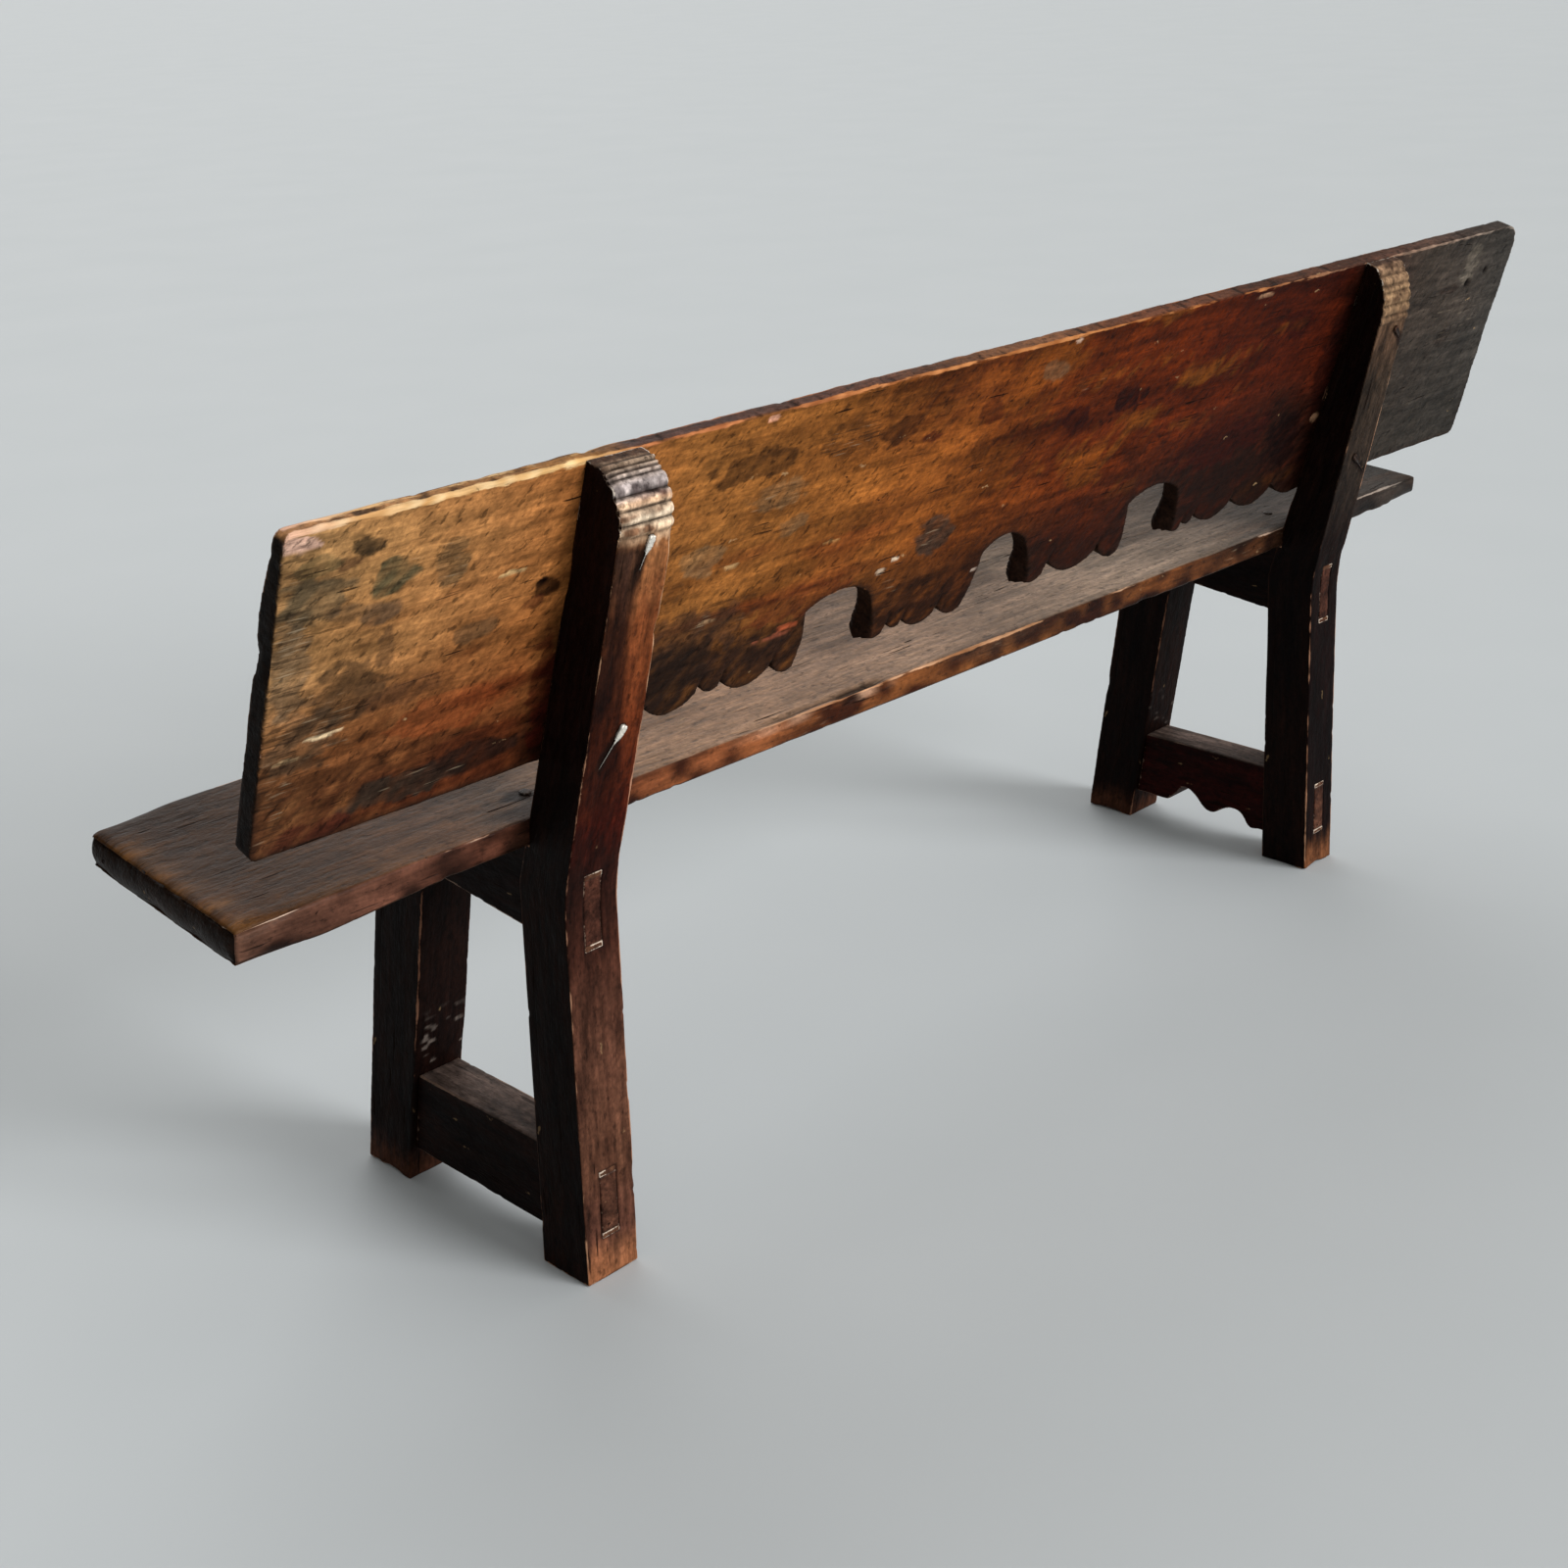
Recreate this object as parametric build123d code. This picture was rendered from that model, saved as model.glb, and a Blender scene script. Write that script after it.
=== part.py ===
from build123d import *
from collections import namedtuple
from math import acos, cos, hypot, radians, sin, tan
import os

# Long plank bench with a leaning back: two planks carried by two mortised end frames.
# Millimetres. X runs along the bench, the sitter faces -Y, Z is up and the floor is at zero.
# The right frame is the one at +X. While the pieces are drawn, X zero lies midway between the frames
# and Y zero midway between the front and rear faces of the feet.

# End frames
FRAME_SPACING = 1201.0
TIMBER_WIDTH = 60.0
FOOT_SPREAD = 339.0

# Rear posts: an upright leg below the knee, a leaning back post above it, and a rounded, reeded head.
# A head's sizes: depth of the post below it, height, depth of its flat tip, swell of its reeds.
POST_FOOT_DEPTH = 63.5
POST_KNEE_DEPTH = 61.5
POST_RISE = 421.0
KNEE_HEIGHT = 381.0
KNEE_RADIUS = 220.0
BACK_LEAN = 17.0
HEAD_SIZES = {"right": (52.0, 62.0, 13.0, 2.4), "left": (40.0, 70.0, 6.0, 1.8)}
# Reeds of each head from its tip down, each as a percentage of the head's turn; the rest below them is plain.
# A reed at least as wide as FULL_REED has the full swell.
REED_SHARES = {"right": (9.0, 7.0, 7.0, 20.0, 16.0, 15.0, 14.0), "left": (28.0, 17.0, 10.0, 17.0, 13.0, 11.0)}
FULL_REED = 15.0

# Front legs, raked forwards and a little stouter at the top
LEG_FOOT_DEPTH = 68.0
LEG_FRONT_RAKE = 9.1
LEG_REAR_RAKE = 10.1

# Seat plank, tilted down towards the back and let into the fronts of the posts
SEAT_REAR_HEIGHT = 445.3
SEAT_TILT = 6.0
SEAT_DEPTH = 230.0
SEAT_THICKNESS = 26.0
SEAT_RIGHT_OVERHANG = 298.5
SEAT_LEFT_OVERHANG = 268.0
SEAT_CORNER_RADIUS = 14.0

# Back plank, lapped on the fronts of the posts with its top edge level with their heads
BACK_THICKNESS = 20.0
BACK_RIGHT_WIDTH = 290.0
BACK_LEFT_WIDTH = 301.0
BACK_RIGHT_OVERHANG = 285.0
BACK_LEFT_OVERHANG = 315.0
BACK_RIGHT_SKEW = 5.0
BACK_LEFT_SKEW = 9.0
BACK_CORNER_RADIUS = 9.0
BACK_LEFT_TOP_RADIUS = 28.0
# Bevel on the front of its top edge, deepest at the right end and running out towards the left
BACK_BEVEL_DEPTH = 7.5
BACK_BEVEL_DROP = 60.0
BACK_BEVEL_LENGTH = 1540.0

# Shaped lower edge of the back plank between the posts. Each arch is listed by its X places:
# right foot, right shoulder, crown, left shoulder, left foot.
ARCHES = (
    (319.0, 314.0, 270.0, 226.0, 207.0),
    (71.0, 53.0, 15.0, -16.0, -40.0),
    (-203.0, -199.0, -246.0, -292.0, -305.0),
)
ARCH_FOOT_RISE = 3.0
ARCH_SHOULDER_RISE = 62.0
ARCH_CROWN_RISE = 76.0
ARCH_SIDE_SWELL = 4.0
# Cusps between the lobes as (X, rise), in the bays right of, between and left of the arches
LOBE_CUSPS = (
    ((515.0, 21.0), (443.0, 18.0), (415.0, 15.5), (349.0, 17.0)),
    ((186.0, 15.0), (162.0, 12.0), (109.0, 15.0)),
    ((-72.0, 20.0), (-160.0, 18.5)),
    ((-324.0, 10.0), (-347.0, 13.0), (-422.0, 17.0), (-508.0, 18.0)),
)
LOBE_FULLNESS = 0.28
LOBE_MARGIN = 20.0

# Rails of the end frames, tenoned right through the posts and the front legs
RAIL_WIDTH = 48.0
BEARER_HEIGHT = 87.5
STRETCHER_HEIGHT = 84.0
RIGHT_STRETCHER_TOP = 119.0
LEFT_STRETCHER_TOP = 121.0
TENON_WIDTH = 20.0
BEARER_TENON_HEIGHT = 64.0
BEARER_TENON_SHOULDER = 2.0
STRETCHER_TENON_HEIGHT = 57.0
STRETCHER_TENON_SHOULDER = 10.0
TENON_CLEARANCE = 0.15
# Waved lower edge of the left stretcher as (distance in front of the post, rise)
STRETCHER_WAVE = (
    (152.0, 0.0), (142.0, 9.0), (125.0, 24.0), (106.0, 15.0), (95.0, 4.0), (83.0, 0.0),
    (70.0, 6.0), (50.0, 14.0), (35.0, 9.0), (26.0, -3.0), (16.0, -5.0),
)

# Wedges above and below each tenon end
WEDGE_MOUTH = 5.0
WEDGE_POINT = 1.0
WEDGE_LENGTH = 42.0

# Forged nails with square shanks and faceted heads
# Each back nail: drop below the plank's top edge, place across the post, turn and length of its clenched point
BACK_NAILS = {
    "right": ((54.0, -6.0, 17.5, 30.0), (237.0, -8.0, 32.0, 42.0)),
    "left": ((73.0, -9.5, -45.0, 22.0), (236.0, 8.0, -50.0, 40.0)),
}
BACK_NAIL_SHANK = 5.0
BACK_NAIL_HEAD = 17.0
BACK_NAIL_HEAD_HEIGHT = 3.0
CLENCH_THICKNESS = 2.5
SEAT_NAIL_SETBACKS = (42.0, 126.0)
SEAT_NAIL_SHANK = 4.5
SEAT_NAIL_LENGTH = 62.0
SEAT_NAIL_HEAD = 13.0
SEAT_NAIL_HEAD_HEIGHT = 1.8
NAIL_HEAD_SLOPE = 38.0
NAIL_HEAD_SIDES = 8
NAIL_CLEARANCE = 0.1

# Places that follow from the sizes above, as (Y, Z) pairs and directions in the side view
lean = radians(BACK_LEAN)
tilt = radians(SEAT_TILT)
post_rear_foot = FOOT_SPREAD / 2
post_front = post_rear_foot - POST_FOOT_DEPTH
knee_front = (post_front, KNEE_HEIGHT)
knee_rear = (post_front + POST_KNEE_DEPTH, KNEE_HEIGHT)
leg_front_foot = -FOOT_SPREAD / 2
leg_rear_foot = leg_front_foot + LEG_FOOT_DEPTH
seat_rear = (post_front + (SEAT_REAR_HEIGHT - KNEE_HEIGHT) * tan(lean), SEAT_REAR_HEIGHT)
frame_places = {"right": FRAME_SPACING / 2, "left": -FRAME_SPACING / 2}
outer_face = (FRAME_SPACING + TIMBER_WIDTH) / 2
inner_face = (FRAME_SPACING - TIMBER_WIDTH) / 2

seat_plane = Plane((0, *seat_rear), x_dir=(1, 0, 0), z_dir=(0, sin(tilt), cos(tilt)))

Rail = namedtuple("Rail", "origin tilt height tenon_height tenon_shoulder wave")
Head = namedtuple("Head", "depth height tip swell reeds")


def on_post(rise, depth):
    """Point of the leaning post: rise up its front face from the knee, depth back from that face."""
    y = post_front + rise * sin(lean) + depth * cos(lean)
    return y, KNEE_HEIGHT + rise * cos(lean) - depth * sin(lean)


def on_seat(back, up):
    """Point of the seat's section: back past its rear top edge, up from its top face."""
    y = seat_rear[0] + back * cos(tilt) + up * sin(tilt)
    return y, seat_rear[1] - back * sin(tilt) + up * cos(tilt)


def on_rail(rail, back, up):
    """Point of a rail's side: back along it from its origin, up from its top edge."""
    turn = radians(rail.tilt)
    y = rail.origin[0] + back * cos(turn) + up * sin(turn)
    return y, rail.origin[1] - back * sin(turn) + up * cos(turn)


def meeting(a, b, c, d):
    """Where the line through a and b meets the line through c and d."""
    run = (b[0] - a[0], b[1] - a[1])
    other = (d[0] - c[0], d[1] - c[1])
    apart = (c[0] - a[0], c[1] - a[1])
    share = (apart[0] * other[1] - apart[1] * other[0]) / (run[0] * other[1] - run[1] * other[0])
    return a[0] + share * run[0], a[1] + share * run[1]


def side_solid(face, width, middle):
    """A face drawn in (Y, Z) made into a solid of this width about X = middle."""
    return extrude(Plane.YZ.offset(middle - width / 2) * face, amount=width)


def polygon(*points):
    """Straight-sided face through these points."""
    return make_face(Polyline(*points, close=True))


def head_edges(head):
    """A rounded head's reeds, from its tip down to the full depth of the post."""
    last = acos(head.tip / head.depth)
    base = POST_RISE - head.height * sin(last)

    def place(turn, swell=0.0):
        rise, depth = head.height * sin(turn), head.depth * cos(turn)
        out = (rise / head.height**2, depth / head.depth**2)
        length = hypot(*out)
        return on_post(base + rise + swell * out[0] / length, depth + swell * out[1] / length)

    reeds = []
    turn = last
    for share in head.reeds:
        step = last * share / 100
        swell = head.swell * min(1, share / FULL_REED)
        reeds.append(ThreePointArc(place(turn), place(turn - step / 2, swell), place(turn - step)))
        turn -= step
    return reeds


def post_face(head):
    """Side of a rear post, with the bend at the back of its knee eased, and the foot of its head."""
    reeds = head_edges(head)
    tip = on_post(POST_RISE, 0)
    shoulder = tuple(reeds[-1] @ 1)[:2]
    edges = [
        Line((post_front, 0), knee_front),
        Line(knee_front, tip),
        Line(tip, reeds[0] @ 0),
        *reeds,
        Line(shoulder, knee_rear),
        Line(knee_rear, (post_rear_foot, 0)),
        Line((post_rear_foot, 0), (post_front, 0)),
    ]
    face = make_face(edges)
    knee = face.vertices().sort_by_distance((*knee_rear, 0))[0]
    return fillet(knee, KNEE_RADIUS), shoulder


def leg_face():
    """Side of a front leg, level at the floor and cut to the seat's underside at the top."""
    front = (leg_front_foot, 0)
    rear = (leg_rear_foot, 0)
    front_up = (leg_front_foot + tan(radians(LEG_FRONT_RAKE)), 1)
    rear_up = (leg_rear_foot + tan(radians(LEG_REAR_RAKE)), 1)
    under = (on_seat(0, -SEAT_THICKNESS), on_seat(-SEAT_DEPTH, -SEAT_THICKNESS))
    return polygon(front, rear, meeting(rear, rear_up, *under), meeting(front, front_up, *under))


def rail_face(rail):
    """Side of a rail between the middles of the leg and the post, before its shoulders are cut."""
    middle = on_rail(rail, 0, -rail.height / 2)
    leg_middle = leg_front_foot + LEG_FOOT_DEPTH / 2 + middle[1] * tan(radians(LEG_FRONT_RAKE))
    front = leg_middle - rail.origin[0]
    rear = post_front + POST_KNEE_DEPTH / 2 - rail.origin[0]
    places = ((rear, -rail.height), (rear, 0), (front, 0), (front, -rail.height))
    corners = [on_rail(rail, *place) for place in places]
    if not rail.wave:
        return polygon(*corners)
    start = post_front - rail.origin[0]
    wave = [on_rail(rail, start - ahead, rise - rail.height) for ahead, rise in rail.wave]
    straight = Polyline(wave[-1], *corners, wave[0])
    return make_face([*straight.edges(), Spline(*wave)])


def tenon_solid(rail, middle, grow=0.0):
    """A tenon right through the frame, or the mortise for it when it is grown by a clearance."""
    low = rail.tenon_shoulder - rail.height - grow
    high = low + rail.tenon_height + 2 * grow
    reach = FOOT_SPREAD
    corners = [on_rail(rail, x, up) for x, up in ((-reach, low), (reach, low), (reach, high), (-reach, high))]
    return side_solid(polygon(*corners), TENON_WIDTH + 2 * grow, middle)


def wedge_solids(rail, middle, mouth, way, grow=0.0):
    """The wedges above and below a tenon whose end is at mouth, driven in against way (+1 is back)."""
    low = rail.tenon_shoulder - rail.height
    high = low + rail.tenon_height
    turn = radians(rail.tilt)
    offset = (mouth[0] - rail.origin[0]) * cos(turn) - (mouth[1] - rail.origin[1]) * sin(turn)
    spread = (WEDGE_MOUTH - WEDGE_POINT) / WEDGE_LENGTH
    solids = []
    for edge, up in ((high, 1), (low, -1)):
        point = (offset - way * (WEDGE_LENGTH + grow), edge + up * (WEDGE_POINT + grow))
        past = (offset + way * WEDGE_LENGTH, edge + up * (WEDGE_MOUTH + spread * WEDGE_LENGTH + grow))
        outline = [(point[0], edge), point, past, (past[0], edge)]
        face = polygon(*[on_rail(rail, *corner) for corner in outline])
        solids.append(side_solid(face, TENON_WIDTH + 2 * grow, middle))
    return solids


def lower_edge(x):
    """Straight lower edge of the back plank: how far it lies below the top edge at this X."""
    right = outer_face + BACK_RIGHT_OVERHANG + BACK_RIGHT_SKEW
    left = -outer_face - BACK_LEFT_OVERHANG - BACK_LEFT_SKEW
    return -(BACK_LEFT_WIDTH + (BACK_RIGHT_WIDTH - BACK_LEFT_WIDTH) * (x - left) / (right - left))


def shaped_edge():
    """Arches and lobes of the back plank's lower edge, from the right post to the left one."""

    def place(x, rise):
        return x, lower_edge(x) + rise

    def lobe(start, end):
        middle = (start[0] + end[0]) / 2
        sag = LOBE_FULLNESS * abs(end[0] - start[0])
        low = max(0.0, (start[1] + end[1]) / 2 - sag)
        return ThreePointArc(place(*start), place(middle, low), place(*end))

    limit = inner_face - LOBE_MARGIN
    stops = [(inner_face, 0.0)]
    for number, cusps in enumerate(LOBE_CUSPS):
        stops += [cusp for cusp in cusps if abs(cusp[0]) < limit]
        if number < len(ARCHES):
            stops.append(ARCHES[number])
    stops.append((-inner_face, 0.0))

    edges = []
    here = stops[0]
    for stop in stops[1:]:
        if len(stop) == 2:
            edges.append(lobe(here, stop))
            here = stop
            continue
        right_foot, right, crown, left, left_foot = stop
        edges.append(lobe(here, (right_foot, ARCH_FOOT_RISE)))
        half_way = (ARCH_FOOT_RISE + ARCH_SHOULDER_RISE) / 2
        right_side = place((right_foot + right) / 2 - ARCH_SIDE_SWELL, half_way)
        left_side = place((left_foot + left) / 2 - ARCH_SIDE_SWELL, half_way)
        feet = place(right_foot, ARCH_FOOT_RISE), place(left_foot, ARCH_FOOT_RISE)
        shoulders = place(right, ARCH_SHOULDER_RISE), place(left, ARCH_SHOULDER_RISE)
        edges.append(ThreePointArc(feet[0], right_side, shoulders[0]))
        edges.append(ThreePointArc(shoulders[0], place(crown, ARCH_CROWN_RISE), shoulders[1]))
        edges.append(ThreePointArc(shoulders[1], left_side, feet[1]))
        here = (left_foot, ARCH_FOOT_RISE)
    return edges


def back_face():
    """Outline of the back plank in its own plane, with the top edge at zero."""
    right = outer_face + BACK_RIGHT_OVERHANG
    left = -outer_face - BACK_LEFT_OVERHANG
    shaped = shaped_edge()
    top_right = (right, 0)
    top_left = (left, 0)
    low_right = (right + BACK_RIGHT_SKEW, lower_edge(right + BACK_RIGHT_SKEW))
    low_left = (left - BACK_LEFT_SKEW, lower_edge(left - BACK_LEFT_SKEW))
    straight = Polyline(shaped[-1] @ 1, low_left, top_left, top_right, low_right, shaped[0] @ 0)
    face = make_face([*straight.edges(), *shaped])
    for corner, radius in (
        (top_left, BACK_LEFT_TOP_RADIUS),
        (top_right, BACK_CORNER_RADIUS),
        (low_right, BACK_CORNER_RADIUS),
        (low_left, BACK_CORNER_RADIUS),
    ):
        face = fillet(face.vertices().sort_by_distance((*corner, 0))[0], radius)
    return face


def nail_head(width, height):
    """Faceted head standing on its plane."""
    return extrude(RegularPolygon(width / 2, NAIL_HEAD_SIDES), amount=height, taper=NAIL_HEAD_SLOPE)


def shank(width, length):
    """Square shank that runs down from its plane."""
    return Pos(0, 0, -length / 2) * Box(width, width, length)


def back_nail(x, drop, turn, point_length, shoulder):
    """A nail through plank and post with its point clenched over, and the hole for it."""
    at_face = on_post(POST_RISE - drop, 0)
    into = on_post(POST_RISE - drop, POST_KNEE_DEPTH)
    at_rear = meeting(at_face, into, knee_rear, shoulder)
    depth = hypot(at_rear[0] - at_face[0], at_rear[1] - at_face[1])
    entry = back_plane * Pos(x, -drop, BACK_THICKNESS)
    length = BACK_THICKNESS + depth + CLENCH_THICKNESS / 2
    body = entry * shank(BACK_NAIL_SHANK, length)
    head = entry * nail_head(BACK_NAIL_HEAD, BACK_NAIL_HEAD_HEIGHT)
    run = (shoulder[0] - knee_rear[0], shoulder[1] - knee_rear[1])
    rear_plane = Plane((x, *at_rear), x_dir=(1, 0, 0), z_dir=(0, run[1], -run[0]))
    half = BACK_NAIL_SHANK / 2
    bent = polygon((-half, -half), (half, -half), (half / 2, point_length), (-half / 2, point_length))
    clench = rear_plane * Rot(0, 0, -turn) * extrude(bent, amount=CLENCH_THICKNESS)
    hole = entry * shank(BACK_NAIL_SHANK + 2 * NAIL_CLEARANCE, length)
    return (head + body + clench).solid(), hole


def seat_nail(x, setback):
    """A nail down through the seat into a bearer, and the hole for it."""
    entry = seat_plane * Pos(x, -setback, 0)
    body = entry * shank(SEAT_NAIL_SHANK, SEAT_NAIL_LENGTH)
    head = entry * nail_head(SEAT_NAIL_HEAD, SEAT_NAIL_HEAD_HEIGHT)
    hole = entry * shank(SEAT_NAIL_SHANK + 2 * NAIL_CLEARANCE, SEAT_NAIL_LENGTH + NAIL_CLEARANCE)
    return (head + body).solid(), hole


# Planks
back_plane = Plane((0, *on_post(POST_RISE, 0)), x_dir=(1, 0, 0), z_dir=(0, -cos(lean), sin(lean)))
bevel_end = outer_face + BACK_RIGHT_OVERHANG - BACK_BEVEL_LENGTH
bevel_way = (
    BACK_BEVEL_DEPTH * BACK_BEVEL_DROP,
    BACK_BEVEL_DEPTH * BACK_BEVEL_LENGTH,
    BACK_BEVEL_DROP * BACK_BEVEL_LENGTH,
)
bevel = Plane((bevel_end, 0, BACK_THICKNESS), z_dir=bevel_way)
back_plank = back_plane * split(extrude(back_face(), amount=BACK_THICKNESS), bevel, Keep.BOTTOM)
seat_right = outer_face + SEAT_RIGHT_OVERHANG
seat_left = -outer_face - SEAT_LEFT_OVERHANG
seat_board = Rectangle(seat_right - seat_left, SEAT_DEPTH)
seat_board = Pos((seat_right + seat_left) / 2, -SEAT_DEPTH / 2) * seat_board
seat_outline = fillet(seat_board.vertices().sort_by(Axis.Y)[:2], SEAT_CORNER_RADIUS)
seat_plank = extrude(seat_plane * seat_outline, amount=-SEAT_THICKNESS)

# The shallow housing that lets the seat's rear edge into the posts
housing_corners = (
    (-SEAT_DEPTH, -SEAT_THICKNESS),
    (TENON_CLEARANCE, -SEAT_THICKNESS),
    (TENON_CLEARANCE, TENON_CLEARANCE),
    (-SEAT_DEPTH, TENON_CLEARANCE),
)
housing_face = polygon(*[on_seat(*corner) for corner in housing_corners])

# End frames
under_seat = on_seat(0, -SEAT_THICKNESS)
bearer = Rail(under_seat, SEAT_TILT, BEARER_HEIGHT, BEARER_TENON_HEIGHT, BEARER_TENON_SHOULDER, ())
stretcher_sizes = (0, STRETCHER_HEIGHT, STRETCHER_TENON_HEIGHT, STRETCHER_TENON_SHOULDER)
stretchers = {
    "right": Rail((0, RIGHT_STRETCHER_TOP), *stretcher_sizes, ()),
    "left": Rail((0, LEFT_STRETCHER_TOP), *stretcher_sizes, STRETCHER_WAVE),
}
outline_of_leg = leg_face()
post_back_down = (knee_rear, (post_rear_foot, 0))
leg_front = ((leg_front_foot, 0), (leg_front_foot + tan(radians(LEG_FRONT_RAKE)), 1))

nodes = {}
back_nails = []
seat_nails = []
for side, middle in frame_places.items():
    outline_of_post, head_shoulder = post_face(Head(*HEAD_SIZES[side], REED_SHARES[side]))
    post_blank = side_solid(outline_of_post, TIMBER_WIDTH, middle)
    leg_blank = side_solid(outline_of_leg, TIMBER_WIDTH, middle)
    post = post_blank - side_solid(housing_face, 2 * TIMBER_WIDTH, middle)
    leg = leg_blank
    wedges = []
    rails = {"seat_bearer": bearer, "stretcher": stretchers[side]}
    for name, rail in rails.items():
        tenon_middle = rail.tenon_shoulder + rail.tenon_height / 2 - rail.height
        axis = (on_rail(rail, 0, tenon_middle), on_rail(rail, 1, tenon_middle))
        mouths = (
            (post_blank, meeting(*axis, *post_back_down), 1),
            (leg_blank, meeting(*axis, *leg_front), -1),
        )
        tenon = tenon_solid(rail, middle)
        body = side_solid(rail_face(rail), RAIL_WIDTH, middle) - post_blank - leg_blank
        nodes[f"{side}_{name}"] = (body + (tenon & post_blank) + (tenon & leg_blank)).solid()
        mortise = tenon_solid(rail, middle, TENON_CLEARANCE)
        for timber, mouth, way in mouths:
            wedges += [(wedge & timber).solid() for wedge in wedge_solids(rail, middle, mouth, way)]
            for wedge in wedge_solids(rail, middle, mouth, way, TENON_CLEARANCE):
                mortise += wedge
        post -= mortise
        leg -= mortise

    for drop, across, turn, point_length in BACK_NAILS[side]:
        nail, hole = back_nail(middle + across, drop, turn, point_length, head_shoulder)
        back_nails.append(nail)
        back_plank -= hole
        post -= hole
    for setback in SEAT_NAIL_SETBACKS:
        nail, hole = seat_nail(middle, setback)
        seat_nails.append(nail)
        seat_plank -= hole
        nodes[f"{side}_seat_bearer"] = (nodes[f"{side}_seat_bearer"] - hole).solid()
    nodes[f"{side}_rear_post"] = post.solid()
    nodes[f"{side}_front_leg"] = leg.solid()
    nodes[f"{side}_tenon_wedges"] = wedges

nodes["seat_plank"] = seat_plank.solid()
nodes["back_plank"] = back_plank.solid()
nodes["back_nails"] = back_nails
nodes["seat_nails"] = seat_nails

# The origin goes to the floor under the middle of the whole bench
shapes = {}
for name, piece in nodes.items():
    shapes[name] = piece if isinstance(piece, Solid) else Compound(children=piece)
box = Compound(children=[shape.moved(Location()) for shape in shapes.values()]).bounding_box()
to_origin = Location((-box.center().X, -box.center().Y, 0))

os.makedirs("parts", exist_ok=True)
for name, shape in shapes.items():
    export_step(shape.moved(to_origin), f"parts/{name}.step")
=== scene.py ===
from functools import partial
from math import ceil, cos, log2, radians, sin, tan

import bmesh
import bpy
import numpy as np
from mathutils import Matrix, Vector
from mathutils.kdtree import KDTree


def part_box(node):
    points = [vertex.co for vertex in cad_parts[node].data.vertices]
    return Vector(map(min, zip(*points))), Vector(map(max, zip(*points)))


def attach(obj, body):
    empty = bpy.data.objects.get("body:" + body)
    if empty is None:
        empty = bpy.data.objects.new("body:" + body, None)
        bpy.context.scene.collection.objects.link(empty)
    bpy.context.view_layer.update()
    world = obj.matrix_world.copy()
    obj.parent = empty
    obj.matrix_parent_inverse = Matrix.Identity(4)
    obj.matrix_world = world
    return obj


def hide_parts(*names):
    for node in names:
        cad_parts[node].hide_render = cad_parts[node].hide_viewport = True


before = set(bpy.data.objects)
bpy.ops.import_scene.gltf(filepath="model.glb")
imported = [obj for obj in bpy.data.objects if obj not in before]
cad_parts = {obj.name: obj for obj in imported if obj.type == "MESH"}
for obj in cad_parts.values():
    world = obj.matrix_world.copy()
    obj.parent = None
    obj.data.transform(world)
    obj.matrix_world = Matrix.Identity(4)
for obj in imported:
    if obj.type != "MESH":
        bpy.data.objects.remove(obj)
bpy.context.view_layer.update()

# A long, old plank bench: hewn walnut planks on dark, mortised end frames.
# The part's own frame: X along the bench, a sitter faces -Y, Z is up. Right is the end at +X.
# Lengths are in mm here, and become metres where Blender takes them.

scene = bpy.context.scene
MM = 0.001
BACK_LEAN = radians(17.0)
BACK_THICKNESS = 20.0
SEAT_TILT = radians(6.0)
SEAT_DEPTH = 230.0
SEAT_THICKNESS = 26.0
KNEE_HEIGHT = 381.0
LEG_RAKE = radians(9.1)
POST_HALF_WIDTH = 30.0
# Further than any edge or nail lies
FAR_OFF = 1000.0

right_post_low, right_post_high = (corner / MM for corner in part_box("right_rear_post"))
left_post_low, left_post_high = (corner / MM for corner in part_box("left_rear_post"))
leg_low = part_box("right_front_leg")[0] / MM
back_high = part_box("back_plank")[1] / MM
seat_low, seat_high = (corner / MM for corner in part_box("seat_plank"))
MIDDLE = (right_post_high.x + left_post_low.x) / 2
FRAME_PLACE = {
    "right": (right_post_low.x + right_post_high.x) / 2,
    "left": (left_post_low.x + left_post_high.x) / 2,
}
FRAME_OFF_MIDDLE = FRAME_PLACE["right"] - MIDDLE
POST_FRONT = right_post_low.y
BACK_TOP = back_high.z - BACK_THICKNESS * sin(BACK_LEAN)
SEAT_REAR_TOP = seat_high.z - SEAT_DEPTH * sin(SEAT_TILT)


# Colours and noise

def linear(code):
    """An sRGB hex colour as linear light."""
    parts = [int(code[i:i + 2], 16) / 255 for i in (1, 3, 5)]
    return np.array([c / 12.92 if c <= 0.04045 else ((c + 0.055) / 1.055) ** 2.4 for c in parts])


def mottle(place, lump, seed):
    """Repeatable smooth noise from -1 to 1 with lumps of this size along each axis."""
    spot = place / np.asarray(lump)
    cell = np.floor(spot).astype(np.int64)
    part = spot - cell
    part = part * part * (3 - 2 * part)
    total = np.zeros(len(place))
    for corner in np.ndindex(2, 2, 2):
        at = cell + corner
        code = (at[:, 0] * 374761393 + at[:, 1] * 668265263 + at[:, 2] * 1440662683 + seed * 69069) & 0xFFFFFFFF
        code = ((code ^ (code >> 15)) * 2246822519) & 0xFFFFFFFF
        code = ((code ^ (code >> 13)) * 3266489917) & 0xFFFFFFFF
        value = ((code ^ (code >> 16)) & 0xFFFF) / 32767.5 - 1
        total += value * np.prod(np.where(corner, part, 1 - part), axis=1)
    return total


def unit(value):
    """Held between 0 and 1."""
    return np.clip(value, 0, 1)


def close_to(distance, reach):
    """1 on an edge, fading out over this reach."""
    return np.exp(-(distance / reach) ** 2)


def ramp(value, low, high):
    """0 below low, 1 above high, and a smooth rise between them; low may be the larger."""
    share = unit((value - low) / (high - low))
    return share * share * (3 - 2 * share)


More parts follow.
